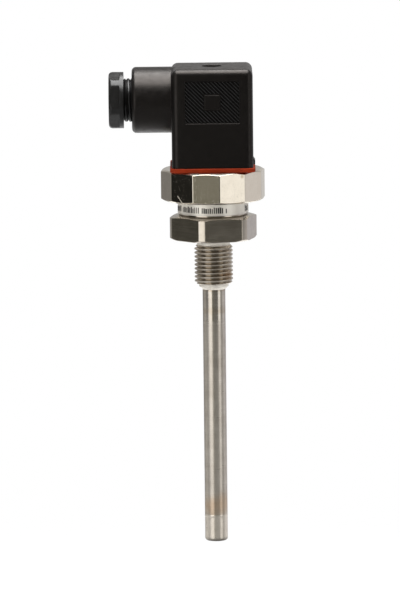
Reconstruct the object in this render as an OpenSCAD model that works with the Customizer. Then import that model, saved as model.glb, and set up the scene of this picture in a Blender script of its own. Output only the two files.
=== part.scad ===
// Resistance temperature probe with a welded stem, a turned process fitting and a four-pole
// socket head.
// The origin is the centre of the sealing face under the hexagon. +Z runs up the axis to the
// head, the cable gland points along -X and the panel face of the socket looks along -Y.
// The process thread has grooves closed round the axis. The other threads are plain cylinders
// at their major diameter.

/* [Stem] */
// Outside diameter of the stem tube
stem_d = 8; // [7:0.1:9]
// Wall of the stem tube
stem_wall = 1; // [0.6:0.1:1.2]
// Insertion length, from the sealing face to the tip
insertion_l = 107.4; // [80:0.1:250]
// Visible length of the welded end plug
end_plug_l = 9; // [5:0.5:12]
// Length of the end plug's spigot inside the tube
end_spigot_l = 4; // [3:0.5:6]
// Radius round the edge of the tip
tip_round = 0.9; // [0.4:0.1:1.5]
// Depth of the stem tube inside the fitting, above the weld
stem_socket_l = 21; // [14:1:21]
// Radial step where the tube is turned down to enter the fitting
stem_turn_down = 0.25; // [0.15:0.05:0.3]

/* [Sensing element] */
// Diameter of the element's ceramic body
element_d = 2.8; // [2:0.1:3.2]
// Length of the element's ceramic body
element_l = 15; // [10:1:25]
// Depth of the element's seat in the end plug
element_seat = 1.5; // [1:0.5:2]
// Diameter of the four-bore insulator
insulator_d = 5; // [4.6:0.1:5.4]
// Diameter of each bore in the insulator
insulator_bore_d = 1; // [0.8:0.1:1.2]
// Radius of the circle that the insulator's bores lie on
insulator_bore_r = 1.25; // [1.1:0.05:1.4]
// Diameter of each lead wire
lead_d = 0.6; // [0.4:0.05:0.7]

/* [Process fitting] */
// Major diameter of the process thread
process_d = 13.4; // [12.5:0.1:14.5]
// Length of the process thread with its end chamfers
process_l = 13.6; // [10:0.1:15]
// Bevel at each end of the process thread
process_bevel = 0.7; // [0.4:0.1:1]
// Pitch of the process thread
process_pitch = 1.41; // [1.3:0.01:1.5]
// Depth of the process thread's grooves
process_groove_depth = 1; // [0.8:0.05:1.1]
// Height of the weld's toe on the stem
weld_toe = 0.5; // [0.2:0.05:0.5]
// Diameter of the undercut between thread and hexagon
undercut_d = 11.5; // [10.8:0.1:12]
// Height of the undercut
undercut_h = 2.3; // [1.2:0.1:2.5]
// Diameter of the welding collar below the thread
collar_d = 10.3; // [9.8:0.1:11]
// Height of the welding collar
collar_h = 1; // [0.6:0.1:2.5]
// Height of the weld fillet between collar and stem
weld_h = 1; // [0.5:0.1:1.2]
// Width of the hexagon across its flats
hex_af = 28; // [26:0.5:30]
// Diameter that the hexagon's corners are turned to
hex_turned_d = 31; // [30:0.1:32]
// Height of the hexagon
hex_h = 8.8; // [8:0.2:12]
// Turn of the hexagon about the axis
hex_turn = 15; // [0:1:59]
// Height of the bevel on the hexagon's upper edge
hex_top_bevel = 1; // [0.6:0.1:1.2]
// Slope of the bevel on the hexagon's upper edge
hex_top_slope = 15; // [14:1:30]
// Height of the bevel on the hexagon's lower edge
hex_low_bevel = 0.6; // [0.5:0.1:1.2]
// Height of the groove above the hexagon
groove_h = 0.4; // [0.3:0.1:0.8]
// Depth of the groove above the hexagon
groove_depth = 0.6; // [0.3:0.1:0.8]
// Step from the union thread's major radius in to the marking band
band_inset = 0.6; // [0.4:0.1:0.8]
// Height of the marking band
band_h = 6.2; // [5:0.1:6.5]
// Part of the marking band that the union nut covers
band_cover = 1.6; // [0.8:0.1:1.6]
// Rim of the carrier's spigot outside the blade tails
spigot_rim = 0.5; // [0.4:0.05:0.6]
// Height of the wire chamber's floor above the sealing face
chamber_floor = 7.8; // [6:0.1:8.4]
// Height of the potting on the chamber's floor
potting_h = 2.4; // [1.5:0.1:3]

/* [Union nut] */
// Wall of the twelve-sided nut outside its thread, at the flats
nut_wall = 4.7; // [3.6:0.1:5.5]
// Height of the nut
nut_h = 10.9; // [9.4:0.1:12]
// Turn of the nut about the axis
nut_turn = 7.3; // [0:0.1:29.9]
// Height of the bevel at the nut's edges
nut_bevel = 0.7; // [0.4:0.1:1]
// Distance from the carrier's flange out to the union thread's major diameter
union_play = 1; // [0.9:0.05:1.3]
// Bevel at each end of the union thread
union_bevel = 0.9; // [0.6:0.1:1]
// Length of the union thread on the fitting
union_l = 4.9; // [4:0.1:5.2]
// Thickness of the nut's inner lip
nut_lip = 1.6; // [1.2:0.1:2]
// Radial hold of the nut's lip on the carrier's flange
lip_hold = 0.7; // [0.5:0.05:0.9]
// Radial relief inside the nut's skirt and above its thread
skirt_relief = 0.4; // [0.3:0.05:0.6]

/* [Pin carrier] */
// Rim of the carrier's raised boss outside the blades
carrier_rim = 1.3; // [1.1:0.1:1.5]
// Thickness of the carrier's clamped flange
carrier_flange_h = 1.8; // [1.4:0.1:2.2]
// Length of the carrier's spigot inside the fitting
carrier_spigot_l = 5.5; // [4:0.1:6]
// Distance of each blade in from the housing's outer face
blade_inset = 5.2; // [4.9:0.05:5.2]
// Width of each blade
blade_w = 6.3; // [5.6:0.1:6.6]
// Thickness of each blade
blade_t = 0.8; // [0.6:0.05:1]
// Height of the signal blades above the carrier
blade_h = 10.1; // [9:0.1:10.8]
// Extra height of the earth blade
earth_extra = 0.5; // [0.2:0.1:0.6]
// Bevel at each blade's tip
blade_bevel = 1; // [0.6:0.1:1.2]
// Leg of the bevelled mouth that holds the sealing cord
mouth_bevel = 1.4; // [1.2:0.05:1.5]
// Width of each blade's tail
tail_w = 4.2; // [3:0.1:4.4]
// Length of the tails below the carrier
tail_l = 3; // [2:0.1:3.4]
// Diameter of the threaded brass insert
insert_d = 5; // [4.6:0.1:5.6]
// Length of the threaded brass insert
insert_l = 6; // [5:0.1:6.4]

/* [Gasket] */
// Distance that the gasket stands proud of the housing
gasket_proud = 0.7; // [0.3:0.05:1]
// Thickness of the gasket's flange
gasket_h = 1.5; // [1.2:0.1:2.2]
// Radius of the gasket's corners
gasket_round = 2.4; // [1.5:0.1:3]
// Height of the raised pad that locates the gasket in the housing
gasket_pad_h = 0.6; // [0.4:0.1:1]

/* [Socket housing] */
// Width of the square housing
housing_w = 28.4; // [27.4:0.1:29.4]
// Height of the housing
housing_h = 34.5; // [33:0.1:38]
// Wall of the housing
housing_wall = 2; // [1.6:0.1:2.2]
// Radius of the housing's outer edges
housing_round = 2.4; // [1.2:0.1:2.4]
// Diameter of the gland boss
boss_d = 23.1; // [21:0.1:23.2]
// Reach of the gland boss from the axis
boss_reach = 28; // [27:0.1:30]
// Height of the gland axis above the housing's lower edge
boss_rise = 22.8; // [22.6:0.1:23.2]
// Radius round the gland boss's mouth
boss_round = 1.5; // [0.8:0.1:2]
// Depth of the recess for the fixing screw
recess_depth = 4.2; // [3.6:0.1:5]
// Diameter of the recess for the fixing screw
recess_d = 7; // [6.8:0.1:7.6]
// Width of the sunk grip panel
panel_w = 19; // [14:0.1:20]
// Height of the sunk grip panel
panel_h = 14.8; // [12:0.1:18]
// Height of the grip panel's middle above the gland axis
panel_rise = 0.3; // [0:0.1:1]
// Depth of the sunk grip panel
panel_depth = 0.4; // [0.2:0.05:0.6]
// Width of the plain square in the grip panel
pad_w = 5; // [3:0.1:6]
// Height of the release lug at the housing's lower edge
lug_h = 2.4; // [1.5:0.1:3]
// Distance that the release lug stands proud
lug_proud = 0.7; // [0.4:0.1:1]
// Width of the release lug
lug_w = 6; // [4:0.5:9]
// Radius of the cavity's upright corners
cavity_round = 1; // [0.6:0.1:1.4]
// Wall of the pillar round the screw's recess
pillar_wall = 2; // [1.5:0.1:2.5]
// Thickness of the floor under the screw's recess
pillar_floor_h = 1.8; // [1.4:0.1:2.2]

/* [Terminal insert] */
// Depth of the clamp blocks' seats in the insert's block
clamp_seat_h = 1.8; // [1.4:0.1:2]
// Diameter of the insert's screw tower
tower_d = 6.4; // [5.8:0.1:7]
// Thickness of each contact leaf
leaf_t = 0.5; // [0.4:0.05:0.6]
// Width of each contact leaf
leaf_w = 5.6; // [4.8:0.1:6]
// Width of each clamp block across the radius
clamp_w = 5.8; // [5.2:0.1:6]
// Depth of each clamp block along the radius
clamp_depth = 4.8; // [4.4:0.1:5]
// Height of each clamp block
clamp_h = 5; // [4.8:0.1:5.4]
// Distance that each clamp block reaches out past its blade's mid-plane
clamp_out = 1.7; // [1.5:0.05:1.9]
// Metal over each wire hole
wire_cover = 0.7; // [0.5:0.1:0.9]
// Play on each side of the leaves in the insert
leaf_play = 0.4; // [0.2:0.05:0.5]
// Diameter of each wire hole
wire_hole_d = 2.2; // [1.8:0.1:2.4]
// Thread diameter of each terminal screw
terminal_screw_d = 2.5; // [2:0.1:2.6]
// Head diameter of each terminal screw
terminal_head_d = 4.2; // [3.8:0.1:4.6]
// Head height of each terminal screw
terminal_head_h = 1.5; // [1.2:0.1:1.8]
// Width of the slot in each terminal screw
terminal_slot_w = 0.7; // [0.5:0.05:0.9]
// Depth of the slot in each terminal screw
terminal_slot_depth = 0.7; // [0.5:0.05:0.9]

/* [Fixing screw] */
// Thread diameter of the fixing screw
screw_d = 3; // [2.8:0.1:3.2]
// Head diameter of the fixing screw
screw_head_d = 5.8; // [5.4:0.1:6.2]
// Head height of the fixing screw
screw_head_h = 2; // [1.6:0.1:2.2]
// Length of the fixing screw in the threaded insert
screw_bite = 5; // [4:0.1:5.6]
// Bevel at the screw's tip
screw_bevel = 0.4; // [0.2:0.1:0.6]
// Width of the screw's slot
slot_w = 0.9; // [0.7:0.1:1.1]
// Depth of the screw's slot
slot_depth = 1.1; // [0.8:0.1:1.2]
// Thickness of the seal under the screw head
screw_seal_h = 1; // [0.7:0.1:1.2]
// Distance that the seal stands out past the screw head
screw_seal_rim = 0.3; // [0.1:0.05:0.4]

/* [Cable gland] */
// Major diameter of the gland thread
gland_d = 15.2; // [14.6:0.1:15.8]
// Width across the flats of the gland nut
gland_af = 18.1; // [17:0.1:18.2]
// Diameter that the gland nut's corners are turned to
gland_turned_d = 19.7; // [18.7:0.1:20]
// Length of the gland nut's head
gland_head_l = 5.2; // [4.6:0.1:6]
// Length of the round collar at the head's inner end
gland_collar_l = 1.4; // [0.8:0.1:1.8]
// Turn of the gland nut about its own axis
gland_turn = 13.2; // [0:0.1:59.9]
// Gap between the gland boss and the gland nut's head
gland_gap = 2.9; // [2.7:0.1:4]
// Length of the gland nut's threaded shank
gland_shank_l = 8; // [7:0.1:8.4]
// Bevel at the shank's inner end
gland_bevel = 0.7; // [0.5:0.1:0.9]
// Radius round the outer end of the gland nut's head
gland_dome = 1.3; // [0.8:0.1:1.6]
// Diameter of the cable hole
cable_hole_d = 8.5; // [7:0.1:9]
// Depth of the threaded bore in the boss
gland_thread_l = 9; // [8.6:0.1:9.6]
// Distance that the cable seal reaches out of its pocket into the threaded bore
seal_reach = 0.3; // [0.1:0.1:0.4]
// Outside diameter of the cable seal
seal_d = 12.8; // [12:0.1:13.4]
// Bevel at the outer end of the cable seal
seal_bevel = 0.9; // [0.5:0.1:1.2]
// Length of the cable seal
seal_l = 4.3; // [3.8:0.1:4.4]
// Thickness of the gland washer
washer_t = 0.8; // [0.5:0.1:1]
// Radial step from the gland thread in to the washer
washer_inset = 0.4; // [0.2:0.05:0.6]
// Radial play of the cable in the washer and the housing's passage
cable_play = 0.5; // [0.25:0.05:0.8]

/* [Hidden] */
$fn = 96;

// Small gap between pieces that sit against each other
seat_gap = 0.05;
// Gap round pieces moulded or pressed into another
press_gap = 0.02;
// Radial play of a thread or shaft that turns
running_gap = 0.05;
// Radial play of a spigot or boss in its seat
fit_gap = 0.1;
// Play on each side of a blade in a contact
leaf_gap = 0.06;
// Play on each side of a blade in the gasket and the insert
blade_play = 0.45;
// Play round pieces that only pass through a hole
pass_gap = 0.3;
// Distance that a cut reaches past a face, or a joined solid into its neighbour
past = 1;

// Heights up the axis
thread_end_z = -undercut_h - process_l;
collar_end_z = thread_end_z - collar_h;
weld_end_z = collar_end_z - weld_h;
tip_z = -insertion_l;
plug_joint_z = tip_z + end_plug_l;
spigot_top_z = plug_joint_z + end_spigot_l;
element_z = spigot_top_z - element_seat + seat_gap;
element_top_z = element_z + element_l;
stem_top_z = weld_end_z + stem_socket_l;
band_z = hex_h + groove_h;
band_top_z = band_z + band_h;
nut_z = band_top_z - band_cover;
nut_top_z = nut_z + nut_h;
lip_z = nut_top_z - nut_lip;
fitting_top_z = lip_z - carrier_flange_h - seat_gap;
union_z = fitting_top_z - union_l;
potting_z = chamber_floor + press_gap;
potting_top_z = potting_z + potting_h;
tail_z = fitting_top_z - carrier_spigot_l - tail_l;
gasket_top_z = nut_top_z + gasket_h;
housing_z = gasket_top_z;
housing_top_z = housing_z + housing_h;
gland_z = housing_z + boss_rise;
terminal_z = housing_z + gasket_pad_h + seat_gap;
recess_z = housing_top_z - recess_depth;
screw_head_z = recess_z + screw_seal_h;
blade_top_z = nut_top_z + blade_h;
clamp_z = blade_top_z + earth_extra + pass_gap;
clamp_top_z = clamp_z + clamp_h;
terminal_top_z = clamp_z + clamp_seat_h;
wire_z = clamp_top_z - wire_cover - wire_hole_d / 2;
screw_l = screw_head_z - nut_top_z + screw_bite;

// Diameters and widths that follow from the fits
stem_bore_d = stem_d - 2 * stem_wall;
stem_seat_d = stem_d - 2 * stem_turn_down;
stem_socket_d = stem_seat_d + 2 * seat_gap;
blade_r = housing_w / 2 - blade_inset;
blade_out_r = blade_r + blade_t / 2;
spigot_d = 2 * norm([blade_out_r, tail_w / 2]) + 2 * spigot_rim;
chamber_d = spigot_d + 2 * fit_gap;
carrier_boss_d = 2 * norm([blade_out_r, blade_w / 2]) + 2 * carrier_rim;
nut_lip_d = carrier_boss_d + 2 * fit_gap;
carrier_flange_d = nut_lip_d + 2 * lip_hold;
union_d = carrier_flange_d + 2 * union_play;
band_d = union_d - 2 * band_inset;
nut_af = union_d + 2 * nut_wall;
squeezed_cord_d = mouth_bevel * (2 - sqrt(2)) - 2 * press_gap;
gasket_w = housing_w + 2 * gasket_proud;
cavity_w = housing_w - 2 * housing_wall;
terminal_w = cavity_w - 2 * pass_gap;
pillar_d = recess_d + 2 * pillar_wall;
blade_slot_t = blade_t + 2 * blade_play;
blade_slot_w = blade_w + 2 * blade_play;
leaf_slot_t = blade_t + 2 * (leaf_gap + leaf_t + leaf_play);
clamp_mid_r = blade_r + clamp_out - clamp_depth / 2;
lead_r = blade_r - blade_t / 2 - lead_d / 2 - press_gap;
screw_hole_d = screw_d + 2 * pass_gap;
gland_head_x = boss_reach + gland_gap;
gland_shank_x = gland_head_x - gland_shank_l;
seal_pocket_x = boss_reach - gland_thread_l;
seal_floor_x = seal_pocket_x + seal_reach - seal_l;
passage_d = cable_hole_d + 2 * cable_play;

// The three signal blades and the earth blade, by their turn about the axis
signal_turns = [180, 0, 90];
earth_turn = 270;
all_turns = [180, 0, 90, 270];

// ---- shared shapes ----

// Square with true round corners, centred on the axis
module rounded_square(w, r) {
    square([w, w - 2 * r], center = true);
    square([w - 2 * r, w], center = true);
    for (x = [-1, 1], y = [-1, 1])
        translate([x * (w / 2 - r), y * (w / 2 - r)]) circle(r);
}

// Square prism with round upright edges, from z = 0
module rounded_prism(w, h, r) {
    linear_extrude(h) rounded_square(w, r);
}

// Square block with round upright and upper edges, from z = 0
module soft_block(w, h, r) {
    core = w - 2 * r;
    rounded_prism(w, h - r, r);
    translate([-core / 2, -core / 2, 0]) cube([core, core, h]);
    for (turn = [0, 90, 180, 270]) rotate([0, 0, turn]) translate([core / 2, 0, h - r]) {
        rotate([90, 0, 0]) cylinder(h = core, r = r, center = true);
        translate([0, core / 2, 0]) sphere(r);
    }
}

// Ring or tube, from z = 0
module tube(d_out, d_in, h) {
    difference() {
        cylinder(h = h, d = d_out);
        translate([0, 0, -past]) cylinder(h = h + 2 * past, d = d_in);
    }
}

// Cylinder with a bevel at its lower and upper edge, from z = 0
module bevelled_rod(d, h, low, high) {
    rotate_extrude()
        polygon([[0, 0], [d / 2 - low, 0], [d / 2, low], [d / 2, h - high],
                 [d / 2 - high, h], [0, h]]);
}

// A bevelled rod with the grooves of a thread, each closed round the rod
module grooved_rod(d, h, bevel, pitch, depth) {
    crest = pitch / 7;
    root = pitch / 10;
    count = floor((h - 2 * bevel) / pitch);
    first = (h - (count - 1) * pitch) / 2;
    rotate_extrude() difference() {
        polygon([[0, 0], [d / 2 - bevel, 0], [d / 2, bevel], [d / 2, h - bevel],
                 [d / 2 - bevel, h], [0, h]]);
        for (i = [0 : count - 1]) translate([d / 2 - depth, first + i * pitch])
            polygon([[0, -root / 2], [depth, -(pitch - crest) / 2], [depth + 1, 0],
                     [depth, (pitch - crest) / 2], [0, root / 2]]);
    }
}

// Regular prism by its width across flats, from z = 0
module prism_af(sides, af, h) {
    cylinder(h = h, d = af / cos(180 / sides), $fn = sides);
}

// Body that trims the corners of a prism: bevels that slope from the end faces
module corner_trim(d, h, low, high, low_slope = 30, high_slope = 30) {
    rotate_extrude()
        polygon([[0, 0], [d / 2 - low / tan(low_slope), 0], [d / 2, low], [d / 2, h - high],
                 [d / 2 - high / tan(high_slope), h], [0, h]]);
}

// Turns +Z to -X on the gland axis, where z counts outwards from the probe's axis
module on_gland_axis() {
    translate([0, 0, gland_z]) rotate([0, -90, 0]) children();
}

// Wire from a to b with a round end at b
module wire_run(a, b) {
    step = b - a;
    flat = norm([step[0], step[1]]);
    translate(a) rotate([0, atan2(flat, step[2]), atan2(step[1], step[0])])
        cylinder(h = norm(step), d = lead_d, $fn = 24);
    translate(b) sphere(d = lead_d, $fn = 24);
}

// ---- probe ----

module stem_tube() {
    color("silver") difference() {
        union() {
            translate([0, 0, plug_joint_z])
                cylinder(h = weld_end_z - plug_joint_z, d = stem_d);
            translate([0, 0, plug_joint_z])
                cylinder(h = stem_top_z - plug_joint_z, d = stem_seat_d);
        }
        translate([0, 0, plug_joint_z - past])
            cylinder(h = stem_top_z - plug_joint_z + 2 * past, d = stem_bore_d);
    }
}

module end_plug() {
    color("gainsboro") translate([0, 0, tip_z]) difference() {
        union() {
            rotate_extrude() {
                square([stem_d / 2 - tip_round, end_plug_l]);
                translate([0, tip_round]) square([stem_d / 2, end_plug_l - tip_round]);
                translate([stem_d / 2 - tip_round, tip_round]) intersection() {
                    circle(tip_round);
                    translate([0, -tip_round]) square(tip_round);
                }
            }
            cylinder(h = end_plug_l + end_spigot_l, d = stem_bore_d - 2 * press_gap);
        }
        translate([0, 0, end_plug_l + end_spigot_l - element_seat])
            cylinder(h = element_seat + past, d = element_d + 2 * seat_gap);
    }
}

module sensing_element() {
    color("white") translate([0, 0, element_z])
        bevelled_rod(element_d, element_l, 4 * seat_gap, 4 * seat_gap);
}

module insulator() {
    foot_z = element_top_z + seat_gap;
    h = stem_top_z - foot_z;
    color("ivory") translate([0, 0, foot_z]) difference() {
        cylinder(h = h, d = insulator_d);
        for (turn = all_turns) rotate([0, 0, turn]) translate([insulator_bore_r, 0, -past])
            cylinder(h = h + 2 * past, d = insulator_bore_d);
    }
}

// Lead from the element through the insulator and the potting to the foot of one blade
module lead_wire(turn) {
    start = [insulator_bore_r, 0, element_top_z + press_gap];
    bend = [insulator_bore_r, 0, potting_top_z + lead_d];
    solder = [lead_r, 0, tail_z + tail_l / 2];
    color("tomato") rotate([0, 0, turn]) {
        wire_run(start, bend);
        wire_run(bend, solder);
    }
}

module lead_wire_1() { lead_wire(signal_turns[0]); }

module lead_wire_2() { lead_wire(signal_turns[1]); }

module lead_wire_3() { lead_wire(signal_turns[2]); }

// Straight lead from the earth blade to the floor of the wire chamber
module earth_lead() {
    color("yellowgreen") rotate([0, 0, earth_turn])
        wire_run([lead_r, 0, potting_z], [lead_r, 0, tail_z + tail_l / 2]);
}

module potting() {
    wire_hole = lead_d + 2 * press_gap;
    color("dimgray") translate([0, 0, potting_z]) difference() {
        cylinder(h = potting_h, d = chamber_d - 2 * press_gap);
        for (turn = signal_turns) rotate([0, 0, turn])
            translate([insulator_bore_r, 0, -past])
                cylinder(h = potting_h + 2 * past, d = wire_hole);
        rotate([0, 0, earth_turn]) translate([lead_r, 0, -past])
            cylinder(h = potting_h + 2 * past, d = wire_hole);
    }
}

// Process fitting: collar, thread, undercut, hexagon, marking band and union thread in one
module process_fitting() {
    groove_d = band_d - 2 * groove_depth;
    weld_mid_h = weld_h / 2;
    color("silver") difference() {
        union() {
            // weld fillet and collar
            translate([0, 0, weld_end_z]) rotate_extrude()
                polygon([[0, 0], [stem_d / 2, 0], [stem_d / 2 + weld_toe, weld_mid_h],
                         [collar_d / 2, weld_h],
                         [collar_d / 2, weld_h + collar_h], [0, weld_h + collar_h]]);
            translate([0, 0, thread_end_z])
                grooved_rod(process_d, process_l, process_bevel, process_pitch,
                            process_groove_depth);
            translate([0, 0, -undercut_h - past])
                cylinder(h = undercut_h + 2 * past, d = undercut_d);
            intersection() {
                rotate([0, 0, hex_turn]) prism_af(6, hex_af, hex_h);
                corner_trim(hex_turned_d, hex_h, hex_low_bevel, hex_top_bevel,
                            high_slope = hex_top_slope);
            }
            cylinder(h = union_z, d = groove_d);
            translate([0, 0, band_z]) cylinder(h = band_h, d = band_d);
            translate([0, 0, union_z])
                bevelled_rod(union_d - 2 * running_gap, union_l, union_bevel, union_bevel);
        }
        translate([0, 0, weld_end_z - past])
            cylinder(h = stem_top_z - weld_end_z + past + seat_gap, d = stem_socket_d);
        translate([0, 0, stem_top_z])
            cylinder(h = chamber_floor - stem_top_z + past, d = stem_bore_d);
        translate([0, 0, chamber_floor])
            cylinder(h = fitting_top_z - chamber_floor + past, d = chamber_d);
        translate([0, 0, fitting_top_z - mouth_bevel + fit_gap])
            cylinder(h = mouth_bevel, d1 = chamber_d, d2 = chamber_d + 2 * mouth_bevel);
    }
}

module union_nut() {
    skirt_d = union_d + 2 * skirt_relief;
    color("lightgray") translate([0, 0, nut_z]) difference() {
        intersection() {
            rotate([0, 0, nut_turn]) prism_af(12, nut_af, nut_h);
            corner_trim(nut_af / cos(15), nut_h, nut_bevel, nut_bevel);
        }
        translate([0, 0, -past]) cylinder(h = nut_h + 2 * past, d = nut_lip_d);
        translate([0, 0, -past]) cylinder(h = lip_z - nut_z + past, d = union_d);
        translate([0, 0, -past]) cylinder(h = union_z - nut_z + past, d = skirt_d);
    }
}

// Sealing cord squeezed between the carrier's spigot and the bevelled mouth of the fitting
module carrier_seal() {
    cord_r = squeezed_cord_d / 2;
    color("black") translate([0, 0, fitting_top_z - cord_r]) rotate_extrude()
        translate([spigot_d / 2 + press_gap + cord_r, 0]) circle(cord_r, $fn = 24);
}

module pin_carrier() {
    spigot_z = fitting_top_z - carrier_spigot_l;
    top_z = nut_top_z;
    color("darkslategray") difference() {
        union() {
            translate([0, 0, spigot_z])
                cylinder(h = carrier_spigot_l + past, d = spigot_d);
            translate([0, 0, fitting_top_z + seat_gap / 2])
                cylinder(h = carrier_flange_h, d = carrier_flange_d);
            translate([0, 0, fitting_top_z + past])
                cylinder(h = top_z - fitting_top_z - past, d = carrier_boss_d);
        }
        for (turn = all_turns) rotate([0, 0, turn])
            translate([blade_r, 0, (spigot_z + top_z) / 2])
                cube([blade_t + 2 * press_gap, tail_w + 2 * press_gap,
                      top_z - spigot_z + 2 * past], center = true);
        translate([0, 0, top_z - insert_l - press_gap])
            cylinder(h = insert_l + past, d = insert_d + 2 * press_gap);
    }
}

module screw_insert() {
    color("goldenrod") translate([0, 0, nut_top_z - insert_l])
        tube(insert_d, screw_d + 2 * running_gap, insert_l);
}

// Flat blade with shoulders on the carrier, a narrower tail below and a bevelled tip
module blade(turn, h) {
    tip = blade_bevel;
    half = blade_w / 2;
    rotate([0, 0, turn]) translate([blade_out_r, 0, 0]) rotate([90, 0, -90])
        linear_extrude(blade_t)
            polygon([[-tail_w / 2, tail_z], [tail_w / 2, tail_z],
                     [tail_w / 2, nut_top_z + press_gap], [half, nut_top_z + press_gap],
                     [half, nut_top_z + h - tip], [half - tip, nut_top_z + h],
                     [tip - half, nut_top_z + h], [-half, nut_top_z + h - tip],
                     [-half, nut_top_z + press_gap], [-tail_w / 2, nut_top_z + press_gap]]);
}

module blade_1() { color("khaki") blade(signal_turns[0], blade_h); }

module blade_2() { color("khaki") blade(signal_turns[1], blade_h); }

module blade_3() { color("khaki") blade(signal_turns[2], blade_h); }

module earth_blade() { color("khaki") blade(earth_turn, blade_h + earth_extra); }

module gasket() {
    top = gasket_h + gasket_pad_h;
    color("orangered") translate([0, 0, nut_top_z]) difference() {
        union() {
            translate([0, 0, press_gap])
                rounded_prism(gasket_w, gasket_h - 2 * press_gap, gasket_round);
            translate([0, 0, press_gap])
                rounded_prism(terminal_w, top - press_gap, cavity_round);
        }
        for (turn = all_turns) rotate([0, 0, turn]) translate([blade_r, 0, top / 2])
            cube([blade_slot_t, blade_slot_w, top + 2 * past], center = true);
        translate([0, 0, -past]) cylinder(h = top + 2 * past, d = insert_d);
    }
}

// ---- socket ----

// Sunk grip panel with its plain square, cut into the -Y face
module panel_cut() {
    translate([0, -housing_w / 2, gland_z + panel_rise]) difference() {
        cube([panel_w, 2 * panel_depth, panel_h], center = true);
        cube([pad_w, 4 * panel_depth, pad_w], center = true);
    }
}

module release_lug() {
    translate([housing_w / 2 - past, lug_w / 2, housing_z]) rotate([90, 0, 0])
        linear_extrude(lug_w)
        polygon([[0, 0], [past + lug_proud, 0], [past + lug_proud, lug_h * 0.6],
                 [past, lug_h], [0, lug_h]]);
}

module socket_housing() {
    color("#1d1c1b") difference() {
        union() {
            translate([0, 0, housing_z]) soft_block(housing_w, housing_h, housing_round);
            on_gland_axis() translate([0, 0, cavity_w / 2]) boss_solid();
            release_lug();
        }
        difference() {
            translate([0, 0, housing_z - past])
                rounded_prism(cavity_w, housing_h - housing_wall + past, cavity_round);
            translate([0, 0, recess_z - pillar_floor_h])
                cylinder(h = recess_depth + pillar_floor_h, d = pillar_d);
        }
        translate([0, 0, recess_z]) cylinder(h = recess_depth + past, d = recess_d);
        translate([0, 0, recess_z - pillar_floor_h - past])
            cylinder(h = pillar_floor_h + 2 * past, d = screw_hole_d);
        on_gland_axis() {
            translate([0, 0, cavity_w / 2 - past])
                cylinder(h = boss_reach - cavity_w / 2, d = passage_d);
            translate([0, 0, seal_floor_x])
                cylinder(h = boss_reach - seal_floor_x, d = seal_d + 2 * fit_gap);
            translate([0, 0, seal_pocket_x])
                cylinder(h = gland_thread_l + past, d = gland_d + 2 * running_gap);
        }
        for (turn = [0, 180]) rotate([0, 0, turn]) panel_cut();
    }
}

// Gland boss with a round edge at its mouth, from the cavity outwards
module boss_solid() {
    l = boss_reach - cavity_w / 2;
    rotate_extrude() {
        square([boss_d / 2 - boss_round, l]);
        square([boss_d / 2, l - boss_round]);
        translate([boss_d / 2 - boss_round, l - boss_round]) intersection() {
            circle(boss_round);
            square(boss_round);
        }
    }
}

// Moulded terminal insert: block with four contact chambers and the tower for the screw
module terminal_insert() {
    tower_top_z = recess_z - pillar_floor_h - pass_gap;
    color("dimgray") difference() {
        union() {
            translate([0, 0, terminal_z])
                rounded_prism(terminal_w, terminal_top_z - terminal_z, cavity_round);
            translate([0, 0, terminal_z])
                cylinder(h = tower_top_z - terminal_z, d = tower_d);
        }
        translate([0, 0, terminal_z - past])
            cylinder(h = tower_top_z - terminal_z + 2 * past, d = screw_hole_d);
        for (turn = all_turns) rotate([0, 0, turn]) {
            translate([blade_r, 0, (terminal_z + clamp_z) / 2])
                cube([leaf_slot_t, blade_slot_w, clamp_z - terminal_z + 2 * past],
                     center = true);
            translate([clamp_mid_r, 0, clamp_z - seat_gap + clamp_h / 2])
                cube([clamp_depth + 2 * seat_gap, clamp_w + 2 * seat_gap, clamp_h],
                     center = true);
        }
    }
}

// Spring contact: two leaves that take a blade, under a clamp block for one wire
module contact(turn) {
    leaf_z = terminal_z + pass_gap;
    color("goldenrod") rotate([0, 0, turn]) difference() {
        union() {
            for (side = [-1, 1])
                translate([blade_r + side * (blade_t / 2 + leaf_gap + leaf_t / 2), 0,
                           (leaf_z + clamp_z + past) / 2])
                    cube([leaf_t, leaf_w, clamp_z + past - leaf_z], center = true);
            translate([clamp_mid_r, 0, clamp_z + clamp_h / 2])
                cube([clamp_depth, clamp_w, clamp_h], center = true);
        }
        translate([clamp_mid_r, 0, wire_z]) rotate([0, 90, 0])
            cylinder(h = clamp_depth + 2 * past, d = wire_hole_d, center = true);
        translate([clamp_mid_r, 0, wire_z])
            cylinder(h = clamp_top_z - wire_z + past, d = terminal_screw_d + 2 * press_gap);
    }
}

module contact_1() { contact(signal_turns[0]); }

module contact_2() { contact(signal_turns[1]); }

module contact_3() { contact(signal_turns[2]); }

module earth_contact() { contact(earth_turn); }

module terminal_screws() {
    shank_l = clamp_top_z - wire_z;
    color("silver") for (turn = all_turns) rotate([0, 0, turn])
        translate([clamp_mid_r, 0, clamp_top_z + press_gap]) difference() {
            union() {
                cylinder(h = terminal_head_h, d = terminal_head_d);
                translate([0, 0, -shank_l]) cylinder(h = shank_l + past, d = terminal_screw_d);
            }
            translate([0, 0, terminal_head_h])
                cube([terminal_head_d + past, terminal_slot_w, 2 * terminal_slot_depth],
                     center = true);
        }
}

module screw_seal() {
    color("black") translate([0, 0, recess_z + press_gap])
        tube(screw_head_d + 2 * screw_seal_rim, screw_d + 2 * seat_gap,
             screw_seal_h - 2 * press_gap);
}

module fixing_screw() {
    color("silver") translate([0, 0, screw_head_z]) difference() {
        union() {
            bevelled_rod(screw_head_d, screw_head_h, press_gap, screw_bevel);
            translate([0, 0, -screw_l])
                bevelled_rod(screw_d, screw_l + past, screw_bevel, press_gap);
        }
        translate([0, 0, screw_head_h])
            cube([screw_head_d + past, slot_w, 2 * slot_depth], center = true);
    }
}

// ---- cable gland ----

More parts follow.
